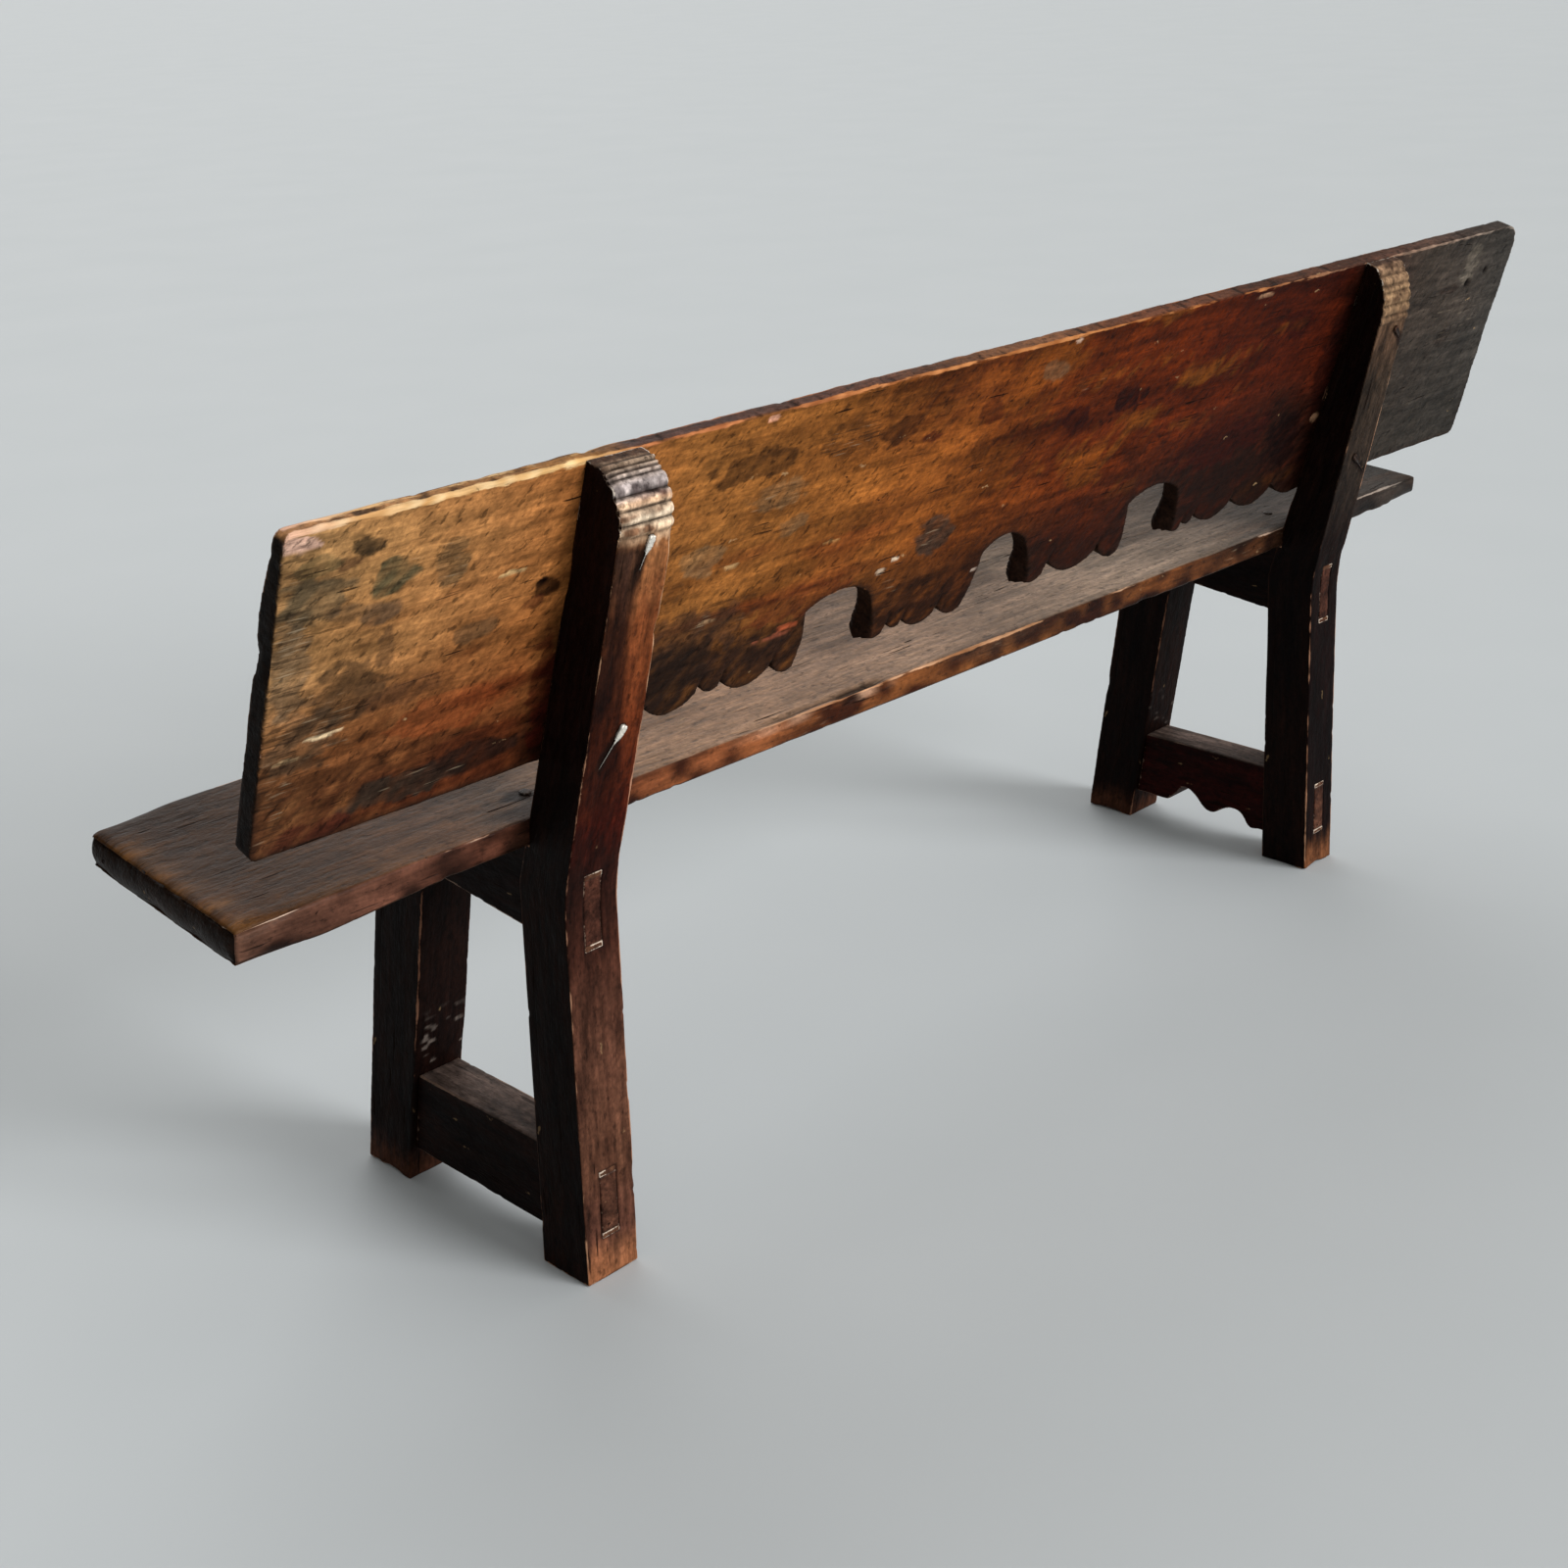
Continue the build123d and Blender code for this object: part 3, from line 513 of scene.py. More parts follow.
def weather_seat(grain, places, normals, arris, hollow):
    x, inset, up = grain.T
    broad = mottle(grain, (170, 50, 30), 31)
    streak = mottle(grain, (90, 12, 25), 32)
    fine = mottle(grain, (24, 7, 20), 33)
    patchy = mottle(places, (22, 14, 14), 34)
    mix = unit(0.6 + 0.22 * broad + 0.2 * streak + 0.16 * fine)
    tint = tones(x + 20 * broad, SEAT_TONES, mix)
    ends = ramp(abs(normals[0]), 0.5, 0.8)
    under = ramp(normals[2], -0.3, -0.7)
    top = ramp(normals[2], 0.5, 0.8)
    edge_mix = unit(0.42 + 0.35 * broad + 0.8 * patchy + 0.3 * fine)
    edge = ramp(abs(normals[1]), 0.35, 0.75)
    tint = laid(tint, tones(x + 25 * streak, SEAT_EDGE_TONES, edge_mix), edge)
    tint = laid(tint, tones(x, SEAT_UNDER_TONES, mix), under)
    tint = laid(tint, "#140b07", 0.9 * ends)

    # Darker patina at the right end, and painted shade round the posts at the seat's rear edge
    right = ramp(x + 30 * broad + 14 * fine, 760, 905) * top
    tint = laid(tint, "#3a2513", 0.4 * right * unit(0.7 + 0.6 * streak))
    end_gap = np.minimum(seat_high.x - MIDDLE - x, x - seat_low.x + MIDDLE)
    golden = ramp(end_gap + 8 * streak + 5 * fine, 40, 12) * ramp(x, 0, 100)
    tint = laid(tint, "#8a5c30", 0.6 * golden * top * unit(0.6 + 0.7 * streak))
    tint = laid(tint, "#2f1d10", 0.5 * spot(grain, 820, 40, 120, 50, 62, 0.9) * top)
    # Painted shade where the posts meet the seat's rear edge
    beside = np.maximum(abs(abs(x) - FRAME_OFF_MIDDLE) - POST_HALF_WIDTH, 0)
    gap = np.hypot(beside, np.maximum(inset, 0))
    tint = laid(tint, "#2a1a12", 0.7 * ramp(gap + 8 * fine, 38, 4))
    dark = ramp(mottle(grain, (130, 26, 30), 35), 0.35, 0.8) * (1 - ends)
    tint = laid(tint, "#4a3527", 0.4 * dark)
    mark = ramp(np.hypot(x - 612, (inset - 42) * 1.5) + 7 * fine, 22, 12)
    tint = laid(tint, "#1a0e09", 0.85 * mark * top)

    # Smoother than the back, dished a little by sitting, split along the rear arris
    out = 0.5 * mottle(grain, (120, 50, 60), 36) + 0.2 * mottle(grain, (30, 12, 60), 37)
    deep = 1.2 * top * ramp(abs(inset - 120), 90, 20)
    deep += knocks(places, arris, 5, 38)
    # Its ends are worn round
    deep += 6 * unit(1 - arris / 14) ** 2 * ramp(end_gap, 90, 12)
    behind = ramp(x, SPLIT_START, SPLIT_START + 50) * ramp(x, SPLIT_END, SPLIT_END - 120) * ramp(up, -12, -7)
    gap = inset - 8 + 3 * streak
    groove = behind * close_to(gap, 1.9)
    hollow_place = np.hypot((x - 205) / 34, (inset - 6) / 6)
    hollow_place = behind * ramp(hollow_place + 0.3 * fine, 1.15, 0.7)
    lip = behind * ramp(gap, 0, -3)
    deep += 2.5 * groove + 2.0 * hollow_place + lip
    tint = laid(tint, "#c99f82", 0.6 * lip * unit(0.5 + fine))
    tint = laid(tint, "#1c0f08", np.maximum(0.9 * groove, 0.75 * hollow_place))
    deep += 3.0 * ends * ramp(x, 0, 100) * unit(mottle(grain, (60, 30, 30), 39))

    rubbed = tones(x, SEAT_RUBBED_TONES, unit(0.5 + 0.6 * fine))
    rub = close_to(arris, 2.0) * ramp(normals[2], -0.5, -0.1)
    rub *= unit(0.5 + 0.75 * mottle(grain, (60, 30, 30), 40))
    rub = np.maximum(rub, lip * close_to(arris, 2.5))
    torn = 0.5 * ramp(mottle(grain, (120, 40, 40), 41), 0.3, 0.7) * edge
    torn = np.maximum(torn, 0.8 * hollow_place)
    return out - deep, tint, rubbed, rub, torn


def thick_end(places):
    """The seat grows a little thicker towards its right end."""
    x, inset, up = along_seat(places).T
    lower = SEAT_END_SWELL * ramp(x, 650, 935) * up / SEAT_THICKNESS
    return places + np.outer(lower, (0, sin(SEAT_TILT), cos(SEAT_TILT)))


# End frames: near-black stain, painted darker still on the side faces as in shade; rubbed to red-brown on the
# posts' rear faces, pale carved heads.
# Stops are the length up the post.
POST_REAR_TONES = {
    "right": (
        (0, "#8c5c40", "#482a1d"), (45, "#6a4234", "#341e17"), (110, "#6a4533", "#331c14"),
        (230, "#6a4434", "#331d15"), (320, "#43241a", "#1f0f0a"), (395, "#2c130d", "#140806"),
        (450, "#3e1209", "#170604"), (560, "#652e16", "#1b0805"), (650, "#7e4424", "#2c150c"),
        (725, "#94603a", "#38251c"), (737, "#e2be9a", "#7d5a42"), (753, "#f6dfc2", "#84624a"),
        (766, "#e8bd98", "#704c3a"), (774, "#c9bbb6", "#5f5352"), (782, "#c4b6b2", "#574c4b"),
        (788, "#e4cec0", "#7c665a"), (795, "#c0a58c", "#664e3e"), (801, "#7c6250", "#3a291f"),
    ),
    "left": (
        # The left post's rear face is painted near-black below the knee, as in shade
        (0, "#1c0b08", "#0b0403"), (100, "#120605", "#070202"), (300, "#130605", "#070202"),
        (430, "#1f100c", "#0e0605"), (520, "#352a22", "#191310"), (650, "#43352a", "#221912"),
        (716, "#6a4f3c", "#3a2a1f"), (760, "#a0805f", "#58402f"), (802, "#8a6c55", "#4a372a"),
    ),
}
# Side faces of the frame timbers: near-black stain, painted darker still as in shade
FRAME_SIDE_STAIN_AND_SHADE_TONES = ((0, "#1d0d08", "#0b0504"), (400, "#170a06", "#090403"), (802, "#1d0b06", "#0a0403"))
FRAME_FRONT_TONES = ((0, "#5a3a27", "#2e1a10"), (400, "#4a2b1b", "#26140c"), (802, "#4a2b1b", "#26140c"))
POST_RUBBED_TONES = (
    (0, "#c0906f", "#83563e"), (450, "#b5846a", "#774a36"), (715, "#c99f7a", "#8c674b"),
    (740, "#e8dac8", "#b9a694"), (802, "#e2d6c8", "#b3a295"),
)
LEG_REAR_TONES = ((0, "#22110c", "#0e0605"), (400, "#150906", "#090403"))
LEG_RUBBED_TONES = ((0, "#a0745c", "#653e2e"), (450, "#75503c", "#46291e"))
HEAD_FOOT = {"right": 736, "left": 726}
# How far a normal points back or forward where a face begins to count, and where it fully does
FACING = (0.35, 0.75)
# The back's nails: drop below the plank's top edge, place across the post, turn of the bent point in degrees
BACK_NAILS = {
    "right": ((54, -6, 17.5), (237, -8, 32)),
    "left": ((73, -9.5, -45), (236, 8, -50)),
}


def frame_noise(grain, seed):
    """Broad, streaky and fine noise along a frame timber."""
    broad = mottle(grain, (80, 30, 30), seed)
    streak = mottle(grain, (60, 8, 8), seed + 1)
    fine = mottle(grain, (15, 5, 5), seed + 2)
    return broad, streak, fine


def frame_relief(places, grain, arris, seed):
    """Hewn faces and knocked arrises of the frame timbers."""
    out = 0.4 * mottle(grain, (70, 28, 28), seed) + 0.18 * mottle(grain, (20, 9, 9), seed + 1)
    return out - 0.8 * knocks(places, arris, 4, seed + 2)


def clench_places(places, side):
    """Places round the nearest nail's clenched point: across its bent end, and along it from the nail."""
    x = places[:, 0] - FRAME_PLACE[side]
    drop = along_back(places)[:, 1]
    over, along = np.full((2, len(places)), FAR_OFF)
    for down, across, turn in BACK_NAILS[side]:
        s, c = sin(radians(turn)), cos(radians(turn))
        sideways, below = x - across, drop - down
        near = abs(below) < 60
        over = np.where(near, sideways * c - below * s, over)
        along = np.where(near, sideways * s + below * c, along)
    return over, along


def weather_post(side, grain, places, normals, arris, hollow):
    seed = {"right": 101, "left": 131}[side]
    up, depth, across = grain.T
    broad, streak, fine = frame_noise(grain, seed)
    rear = ramp(normals[1], *FACING)
    front = ramp(-normals[1], *FACING)
    mix = unit(0.52 + 0.3 * broad + 0.28 * streak + 0.22 * fine)
    below_head = ramp(up, HEAD_FOOT[side], HEAD_FOOT[side] - 16)
    # Above the seat the outer half of the rear face is darker, the inner half rubbed orange
    split = np.interp(up, (500, 640), (-12, 0))
    inner = ramp(across + 6 * broad + 4 * streak - split, 7, -7)
    halved = ramp(up, 430, 520) * below_head * {"right": 1, "left": 0.3}[side]
    lit = mix * (1 - halved) + halved * unit(0.1 + 0.75 * inner + 0.6 * (mix - 0.5))
    tint = tones(up, FRAME_SIDE_STAIN_AND_SHADE_TONES, mix)
    tint = laid(tint, tones(up, FRAME_FRONT_TONES, mix), front)
    tint = laid(tint, tones(up + 12 * fine * below_head, POST_REAR_TONES[side], lit), rear)
    # The carved head: worn pale on its reeds, dark in the grooves between them
    head = ramp(up + 3 * fine, HEAD_FOOT[side] - 4, HEAD_FOOT[side] + 4)
    carved = head * ramp(normals[1] + 0.8 * normals[2], 0.25, 0.6)
    reed = mottle(grain, (7, 18, 16), seed + 20) + 0.7 * mottle(grain, (4, 9, 7), seed + 21)
    tint = laid(tint, tones(up, POST_REAR_TONES[side], unit(0.68 + 0.8 * reed)), carved)
    groove = close_to(hollow, 1.9) * head
    tint = laid(tint, "#1a0e08", {"right": 1.0, "left": 0.6}[side] * groove)
    # Its flat top is brown like the plank's top edge
    flat = ramp(depth + 2 * fine, 13, 9) * ramp(normals[2], 0.6, 0.85) * head
    tint = laid(tint, laid("#2a1b14", "#5a4234", mix), flat)
    foot = ramp(up + 14 * streak, 45, 6)
    tint = laid(tint, "#a86a44", 0.4 * foot * ramp(abs(normals[1]), 0.3, 0.7))
    # The nails' bent points lie in dark bruises, the mortises show as dark gaps
    over, along = clench_places(places, side)
    bruise = ramp(abs(over) + 2 * fine, 8, 3) * ramp(along, -8, 2) * ramp(along, 58, 36)
    tint = laid(tint, "#170c08", 0.85 * bruise * rear * below_head)
    outer = np.maximum(ramp(abs(across), 16, 22), head)
    gap = close_to(arris, 1.4) * (1 - outer)
    tint = laid(tint, "#0d0705", 0.55 * gap * unit(0.8 + 0.8 * fine))
    out = frame_relief(places, grain, arris, seed + 5) * (1 - 0.5 * head) - 0.8 * groove
    if side == "right":
        # The outer rear arris of this head is worn right down
        worn = close_to(arris, 8) * ramp(across, 10, 20) * ramp(depth, 10, 24)
        out -= 3.5 * worn * ramp(up, 620, 740)
    rubbed = tones(up, POST_RUBBED_TONES, unit(0.5 + 0.5 * fine))
    rub = close_to(arris, 1.5) * outer * unit(0.62 + 0.5 * broad + 0.3 * fine)
    rub *= (1 - 0.6 * front) * (1 - groove) * (1 - 0.35 * ramp(across, 10, 20))
    return out, tint, rubbed, rub, 0 * up


def weather_leg(side, grain, places, normals, arris, hollow):
    seed = {"right": 161, "left": 181}[side]
    up, depth, across = grain.T
    broad, streak, fine = frame_noise(grain, seed)
    mix = unit(0.5 + 0.26 * broad + 0.3 * streak + 0.2 * fine)
    rear = ramp(normals[1], *FACING)
    tint = tones(up, FRAME_SIDE_STAIN_AND_SHADE_TONES, mix)
    tint = laid(tint, tones(up, FRAME_FRONT_TONES, mix), ramp(-normals[1], *FACING))
    tint = laid(tint, tones(up, LEG_REAR_TONES, mix), rear)
    # Short level scuffs above the stretcher
    scuff = ramp(mottle(grain, (4.5, 40, 9), seed + 4) + 0.2 * fine, 0.45, 0.7)
    scuff *= ramp(up, 108, 125) * ramp(up, 195, 150) * rear
    tint = laid(tint, "#a3948a", {"right": 0.45, "left": 0.15}[side] * scuff)
    foot = ramp(up + 12 * streak, 40, 6)
    tint = laid(tint, "#6d4330", 0.35 * foot)
    outer = ramp(abs(across), 16, 22)
    tint = laid(tint, "#0d0705", 0.8 * close_to(arris, 1.4) * (1 - outer))
    rubbed = tones(up, LEG_RUBBED_TONES, unit(0.5 + 0.5 * fine))
    rub = close_to(arris, 1.4) * outer * unit(0.4 + 0.6 * broad + 0.3 * fine)
    return frame_relief(places, grain, arris, seed + 5), tint, rubbed, rub, 0 * up


# Stops are heights
TENON_END_TONES = ((60, "#5e3c2d", "#301c15"), (330, "#4c2c21", "#271510"))


def weather_rail(seed, lighter, darker, grain, places, normals, arris, hollow):
    broad, streak, fine = frame_noise(grain, seed)
    mix = unit(0.5 + 0.26 * broad + 0.3 * streak + 0.2 * fine)
    tint = laid(darker, lighter, mix)
    top = ramp(normals[2], 0.45, 0.8)
    tint = laid(tint, laid("#41352f", "#74625a", mix), top)
    ends = ramp(abs(normals[1]), 0.6, 0.85)
    tint = laid(tint, tones(places[:, 2], TENON_END_TONES, mix), ends)
    rubbed = laid("#5e483b", "#8f7666", unit(0.5 + 0.5 * fine))
    rub = close_to(arris, 1.5) * unit(0.45 + 0.6 * broad + 0.25 * fine)
    out = 0.8 * frame_relief(places, grain, arris, seed + 5) * (1 - ends)
    return out, tint, rubbed, rub * (1 - ends), 0 * fine


def weather_wedge(grain, places, normals, arris, hollow):
    """Brown end grain with pale dust packed here and there in the gap round each wedge."""
    fine = mottle(places, (4,) * 3, 221)
    tint = laid("#3a2118", "#64432f", unit(0.5 + 0.5 * fine))
    rubbed = linear("#c9b6a4")
    rub = close_to(arris, 1.1) * unit(0.6 + 0.9 * mottle(places, (10,) * 3, 222))
    return 0.1 * fine, tint, rubbed, rub, 0 * fine


# Depth of the right and the left post behind the plank at the nails: drops, depths
POST_DEPTHS = (((54, 237), (51.5, 55.3)), ((73, 236), (40.4, 49.5)))


def weather_back_nail(grain, places, normals, arris, hollow):
    """Forged iron: dark scale and rust, bright where the bent point comes out and along its ridge, partly
    rubbed metal and partly a painted highlight.
    """
    fine = mottle(places, (5,) * 3, 231)
    tint = laid("#241e1b", "#4a2e20", unit(0.3 + 0.7 * fine))
    on_right = grain[:, 0] > 0
    over, along = np.where(on_right, clench_places(places, "right"), clench_places(places, "left"))
    # A bright drop that narrows to a thin bright line along the ridge: partly rubbed metal, partly a painted
    # highlight
    width = np.interp(along, (-4, 2, 9, 17), (2, 5, 4, 0.3))
    drop = ramp(abs(over), width, 0.7 * width) * ramp(along, 18, 14)
    ridge = 0.6 * ramp(abs(over), 1.0, 0.4) * ramp(along, 14, 17)
    post_depth = np.where(on_right, *(np.interp(grain[:, 1], *table) for table in POST_DEPTHS))
    behind = ramp(-grain[:, 2] - post_depth, -1.2, 0)
    flattened = ramp(along, -5, 1) * ramp(along, 16, 6)
    # Rubbed bright iron, partly a painted highlight, fullest on the right post's nails
    rubbed = linear("#e2ddd3")
    rub = np.maximum(drop, ridge) * behind * np.where(on_right, 1, 0.3)
    sunk = behind * ramp(along, 9, 18)
    spread = flattened * ramp(abs(over), 1, 2)
    return 0.1 * fine + behind * (1.5 * spread - 0.5 - 0.6 * sunk), tint, rubbed, rub, 0 * fine


def weather_seat_nail(grain, places, normals, arris, hollow):
    """Forged iron heads: dark scale and rust, hardly rubbed."""
    fine = mottle(places, (5,) * 3, 241)
    tint = laid("#1f1815", "#3d261a", unit(0.3 + 0.7 * fine))
    rubbed = linear("#8d867e")
    return 0.12 * fine, tint, rubbed, 0.5 * close_to(arris, 1), 0 * fine


# Materials

def add(tree, kind, settings, *first, **others):
    """A node with its settings; each input is a value, or a socket or node to link.

    The first inputs come in order, the others by name or, as in_6, by number.
    """
    node = tree.nodes.new("ShaderNode" + kind)
    for key, value in settings.items():
        setattr(node, key, value)
    for key, value in (*enumerate(first), *others.items()):
        socket = node.inputs[int(key[3:]) if str(key).startswith("in_") else key]
        if isinstance(value, bpy.types.Node):
            value = next(output for output in value.outputs if output.enabled)
        if isinstance(value, bpy.types.NodeSocket):
            tree.links.new(value, socket)
        else:
            socket.default_value = value
    return node


def new_material(name):
    """An empty material with a surface shader, as (material, tree, shader)."""
    material = bpy.data.materials.new(name)
    material.use_nodes = True
    tree = material.node_tree
    return material, tree, tree.nodes["Principled BSDF"]


# Patterns in the wood: lumps along, across and through the grain, detail, shift, whether they follow the tool
WOOD_PATTERNS = {
    # Growth streaks about 14 mm apart
    "streaks": ((170, 14, 14), 5.0, 3.0, False),
    # Tool marks, and the small dents that they leave
    "marks": ((24, 9, 9), 5.0, 11.0, True),
    "dents": ((15, 7, 7), 4.0, 43.0, True),
    # Fibres and grit, drawn at 4 mm so that they show
    "fibres": ((30, 4, 4), 2.0, 7.0, False),
    "grit": ((6, 4.5, 4.5), 2.0, 13.0, True),
    # Torn lines, drying cracks 2 mm wide and up to 60 mm long, and where they gather
    "lines": ((34, 3.2, 3.2), 1.5, 37.0, False),
    "cracks": ((60, 4.5, 4.5), 1.5, 17.0, False),
    "clusters": ((180, 45, 45), 2.0, 23.0, False),
    # Breaks in the rubbed arrises
    "breaks": ((24, 5, 5), 4.0, 29.0, False),
}
# Worm holes and pale chips, the chips partly painted glints: places per mm along, across and through the grain;
# and the lumps in their rims
WORM_HOLES = (0.036, 0.058, 0.058)
PALE_CHIPS_AND_GLINTS = (0.02, 0.06, 0.06)
RAGGED_RIM = 6.0
# The patterns that change the colour
SHADED = ("streaks", "marks", "dents", "fibres", "grit")
# What worn_piece gives each point of a mesh
WORN_VALUES = (("grain", "Vector"), ("tint", "Color"), ("rubbed", "Color"), ("rub", "Fac"), ("torn", "Fac"))
MULTIPLY, SUM, LARGER, LESS = ({"operation": word} for word in ("MULTIPLY", "ADD", "MAXIMUM", "SUBTRACT"))
SCALED = {"operation": "SCALE"}
COLOURS = {"data_type": "RGBA"}
# Colours of cracks, worm holes, torn fibres and chips; the pale fibre lines and pale chips are partly painted
# highlights
CRACK_DARK, HOLE_DARK, TEAR_DARK, TEAR_PALE_AND_HIGHLIGHT, CHIP_AND_GLINT_PALE = (
    (*linear(code), 1) for code in ("#130a06", "#150b07", "#1f150e", "#b9a588", "#b8966c"))


def walnut(name, tool_lean, depths, crack_from, chips_and_glints, roughness, specular):
    """Aged walnut: the eye sees tool marks, streaks and fibres, dark short cracks, pale chips that are partly
    painted glints, rubbed arrises.

    depths says how strongly streaks, marks, dents, fibres and grit change the colour.
    """
    material, tree, shader = new_material(name)
    grain, tint, rubbed, rub, torn = (
        add(tree, "Attribute", {"attribute_name": key}).outputs[kind] for key, kind in WORN_VALUES)
    found = {}
    for key, (size, detail, shift, follows) in WOOD_PATTERNS.items():
        turned = add(tree, "Mapping", {}, Vector=grain, Rotation=(0, 0, -tool_lean if follows else 0))
        scale = tuple(1 / part for part in size)
        placed = add(tree, "Mapping", {}, Vector=turned, Scale=scale, Location=(shift,) * 3)
        noise = add(tree, "TexNoise", {}, Vector=placed, Scale=1.0, Detail=detail, Roughness=0.62)
        found[key] = noise.outputs["Fac"]

    # Light and dark of the worked surface
    colour = tint
    for key, depth in zip(SHADED, depths):
        low, high, gain = (0.64, 0.575, 0) if key == "dents" else (0.36, 0.64, 0.8)
        shade = add(tree, "MapRange", {}, found[key], low, high, 1 - depth, 1 + gain * depth)
        colour = add(tree, "VectorMath", SCALED, colour, Scale=shade)

    # Torn fibres: dark and pale lines a few mm apart; the pale lines are partly painted highlights
    for low, high, share, line in ((0.47, 0.4, 0.75, TEAR_DARK), (0.62, 0.72, 0.4, TEAR_PALE_AND_HIGHLIGHT)):
        drawn = add(tree, "MapRange", {}, found["lines"], low, high, 0.0, share)
        drawn = add(tree, "Math", MULTIPLY, drawn, torn)
        colour = add(tree, "Mix", COLOURS, drawn, in_6=colour, in_7=line)

    # Drying cracks
    crack = add(tree, "MapRange", {}, found["cracks"], crack_from, crack_from + 0.04, 0.0, 0.9)
    gathered = add(tree, "MapRange", {}, found["clusters"], 0.47, 0.62)
    crack = add(tree, "Math", MULTIPLY, crack, gathered)
    colour = add(tree, "Mix", COLOURS, crack, in_6=colour, in_7=CRACK_DARK)

    # Worm holes of about 2 mm and pale chips of about 7 by 2 mm with ragged rims; the chips are partly painted
    # glints
    ragged = add(tree, "TexNoise", {}, Vector=grain, Scale=1 / RAGGED_RIM, Detail=2.0).outputs["Color"]
    ragged = add(tree, "VectorMath", SCALED, ragged, Scale=0.45)
    specks = []
    for scale, width, rarity, share, speck in (
            (WORM_HOLES, 0.09, 0.84, 0.8, HOLE_DARK), (PALE_CHIPS_AND_GLINTS, 0.1, 0.72, chips_and_glints, CHIP_AND_GLINT_PALE)):
        placed = add(tree, "Mapping", {}, Vector=grain, Scale=scale)
        placed = add(tree, "VectorMath", SUM, placed, ragged)
        cells = add(tree, "TexVoronoi", {"feature": "F1"}, Vector=placed, Scale=1.0)
        drawn = add(tree, "MapRange", {}, cells.outputs["Distance"], width, 0.5 * width, 0.0, share)
        chosen = add(tree, "SeparateColor", {}, Color=cells.outputs["Color"])
        chosen = add(tree, "MapRange", {}, chosen, rarity, rarity + 0.02)
        drawn = add(tree, "Math", MULTIPLY, drawn, chosen)
        colour = add(tree, "Mix", COLOURS, drawn, in_6=colour, in_7=speck)
        specks.append(drawn)

    # Rubbed arrises, broken up along the grain
    breaks = add(tree, "MapRange", {}, found["breaks"], 0.3, 0.7, -0.32, 0.32)
    broken = add(tree, "Math", SUM, rub, breaks)
    broken = add(tree, "MapRange", {}, broken, 0.32, 0.55)
    reached = add(tree, "MapRange", {}, rub, 0.02, 0.2)
    bared = add(tree, "Math", MULTIPLY, broken, reached)
    sheen = add(tree, "MapRange", {}, found["fibres"], 0.3, 0.7, 0.75, 1.1)
    pale = add(tree, "VectorMath", SCALED, rubbed, Scale=sheen)
    colour = add(tree, "Mix", COLOURS, bared, in_6=colour, in_7=pale)
    tree.links.new(colour.outputs[2], shader.inputs["Base Color"])

    rough = add(tree, "MapRange", {}, found["marks"], 0.3, 0.7, *roughness)
    rough = add(tree, "Math", LARGER, rough, crack)
    tree.links.new(rough.outputs[0], shader.inputs["Roughness"])
    height = found["marks"]
    for key, share in (("fibres", 0.4), ("grit", 0.3), ("dents", -0.7), ("lines", torn)):
        part = add(tree, "Math", MULTIPLY, found[key], share)
        height = add(tree, "Math", SUM, height, part)
    sunk = add(tree, "Math", SUM, crack, specks[0])
    height = add(tree, "Math", LESS, height, sunk)
    bump = add(tree, "Bump", {}, Strength=0.8, Distance=1.5 * MM, Height=height)
    tree.links.new(bump.outputs["Normal"], shader.inputs["Normal"])
    shader.inputs["IOR"].default_value = 1.45
    shader.inputs["Specular IOR Level"].default_value = specular
    return material


# Hewn walnut under old stain and wax: warm gold with dark blotches, a dull shine that breaks on the adze marks
hewn_walnut = walnut(
    "hewn_waxed_walnut", ADZE_LEAN, (0.28, 0.26, 0.55, 0.18, 0.2),
    crack_from=0.66, chips_and_glints=0.5, roughness=(0.46, 0.66), specular=0.05)
# Walnut polished by sitting: greyer and smoother, a broad sheen towards the light, long drying cracks
polished_walnut = walnut(
    "sat_polished_walnut", 0.0, (0.28, 0.2, 0.45, 0.18, 0.16),
    crack_from=0.63, chips_and_glints=0.3, roughness=(0.36, 0.5), specular=0.07)
# Walnut under near-black stain: dull, red-brown only where it is rubbed
stained_walnut = walnut(
    "dark_stained_walnut", 0.0, (0.32, 0.28, 0.45, 0.22, 0.22),
    crack_from=0.64, chips_and_glints=0.25, roughness=(0.48, 0.68), specular=0.045)
# Split oak, cut flush: dull brown end grain outlined by the pale dust in its gap
oak_wedge = walnut(
    "flush_oak_wedge", 0.0, (0.1, 0.15, 0.15, 0.15, 0.15),
    crack_from=0.7, chips_and_glints=0.0, roughness=(0.6, 0.75), specular=0.08)

# Forged iron: dark scale and rust that hardly shine, bright grey metal where it is rubbed; on the back's nails
# the bright part is partly a painted highlight
forged_iron, tree, shader = new_material("forged_iron")
grain, tint, rubbed, rub = (
    add(tree, "Attribute", {"attribute_name": key}).outputs[kind] for key, kind in WORN_VALUES[:4])
# Size of the pits in its scale
PIT_SIZE = 1.5
pits = add(tree, "TexNoise", {}, Vector=grain, Scale=1 / PIT_SIZE, Detail=3.0).outputs["Fac"]
bright = add(tree, "MapRange", {}, rub, 0.35, 0.65)
colour = add(tree, "Mix", COLOURS, bright, in_6=tint, in_7=rubbed)
rough = add(tree, "MapRange", {}, pits, 0.3, 0.7, 0.42, 0.68)
bump = add(tree, "Bump", {}, Strength=0.4, Distance=0.4 * MM, Height=pits)
tree.links.new(colour.outputs[2], shader.inputs["Base Color"])
tree.links.new(rough.outputs[0], shader.inputs["Roughness"])
tree.links.new(bump.outputs["Normal"], shader.inputs["Normal"])
shader.inputs["Metallic"].default_value = 0.75


# Pieces

# Size of the faces in each kind of mesh
BACK_MESH = 2.6
SEAT_MESH = 3.0
POST_MESH = 1.6
FRAME_MESH = 2.2
SMALL_MESH = 1.0

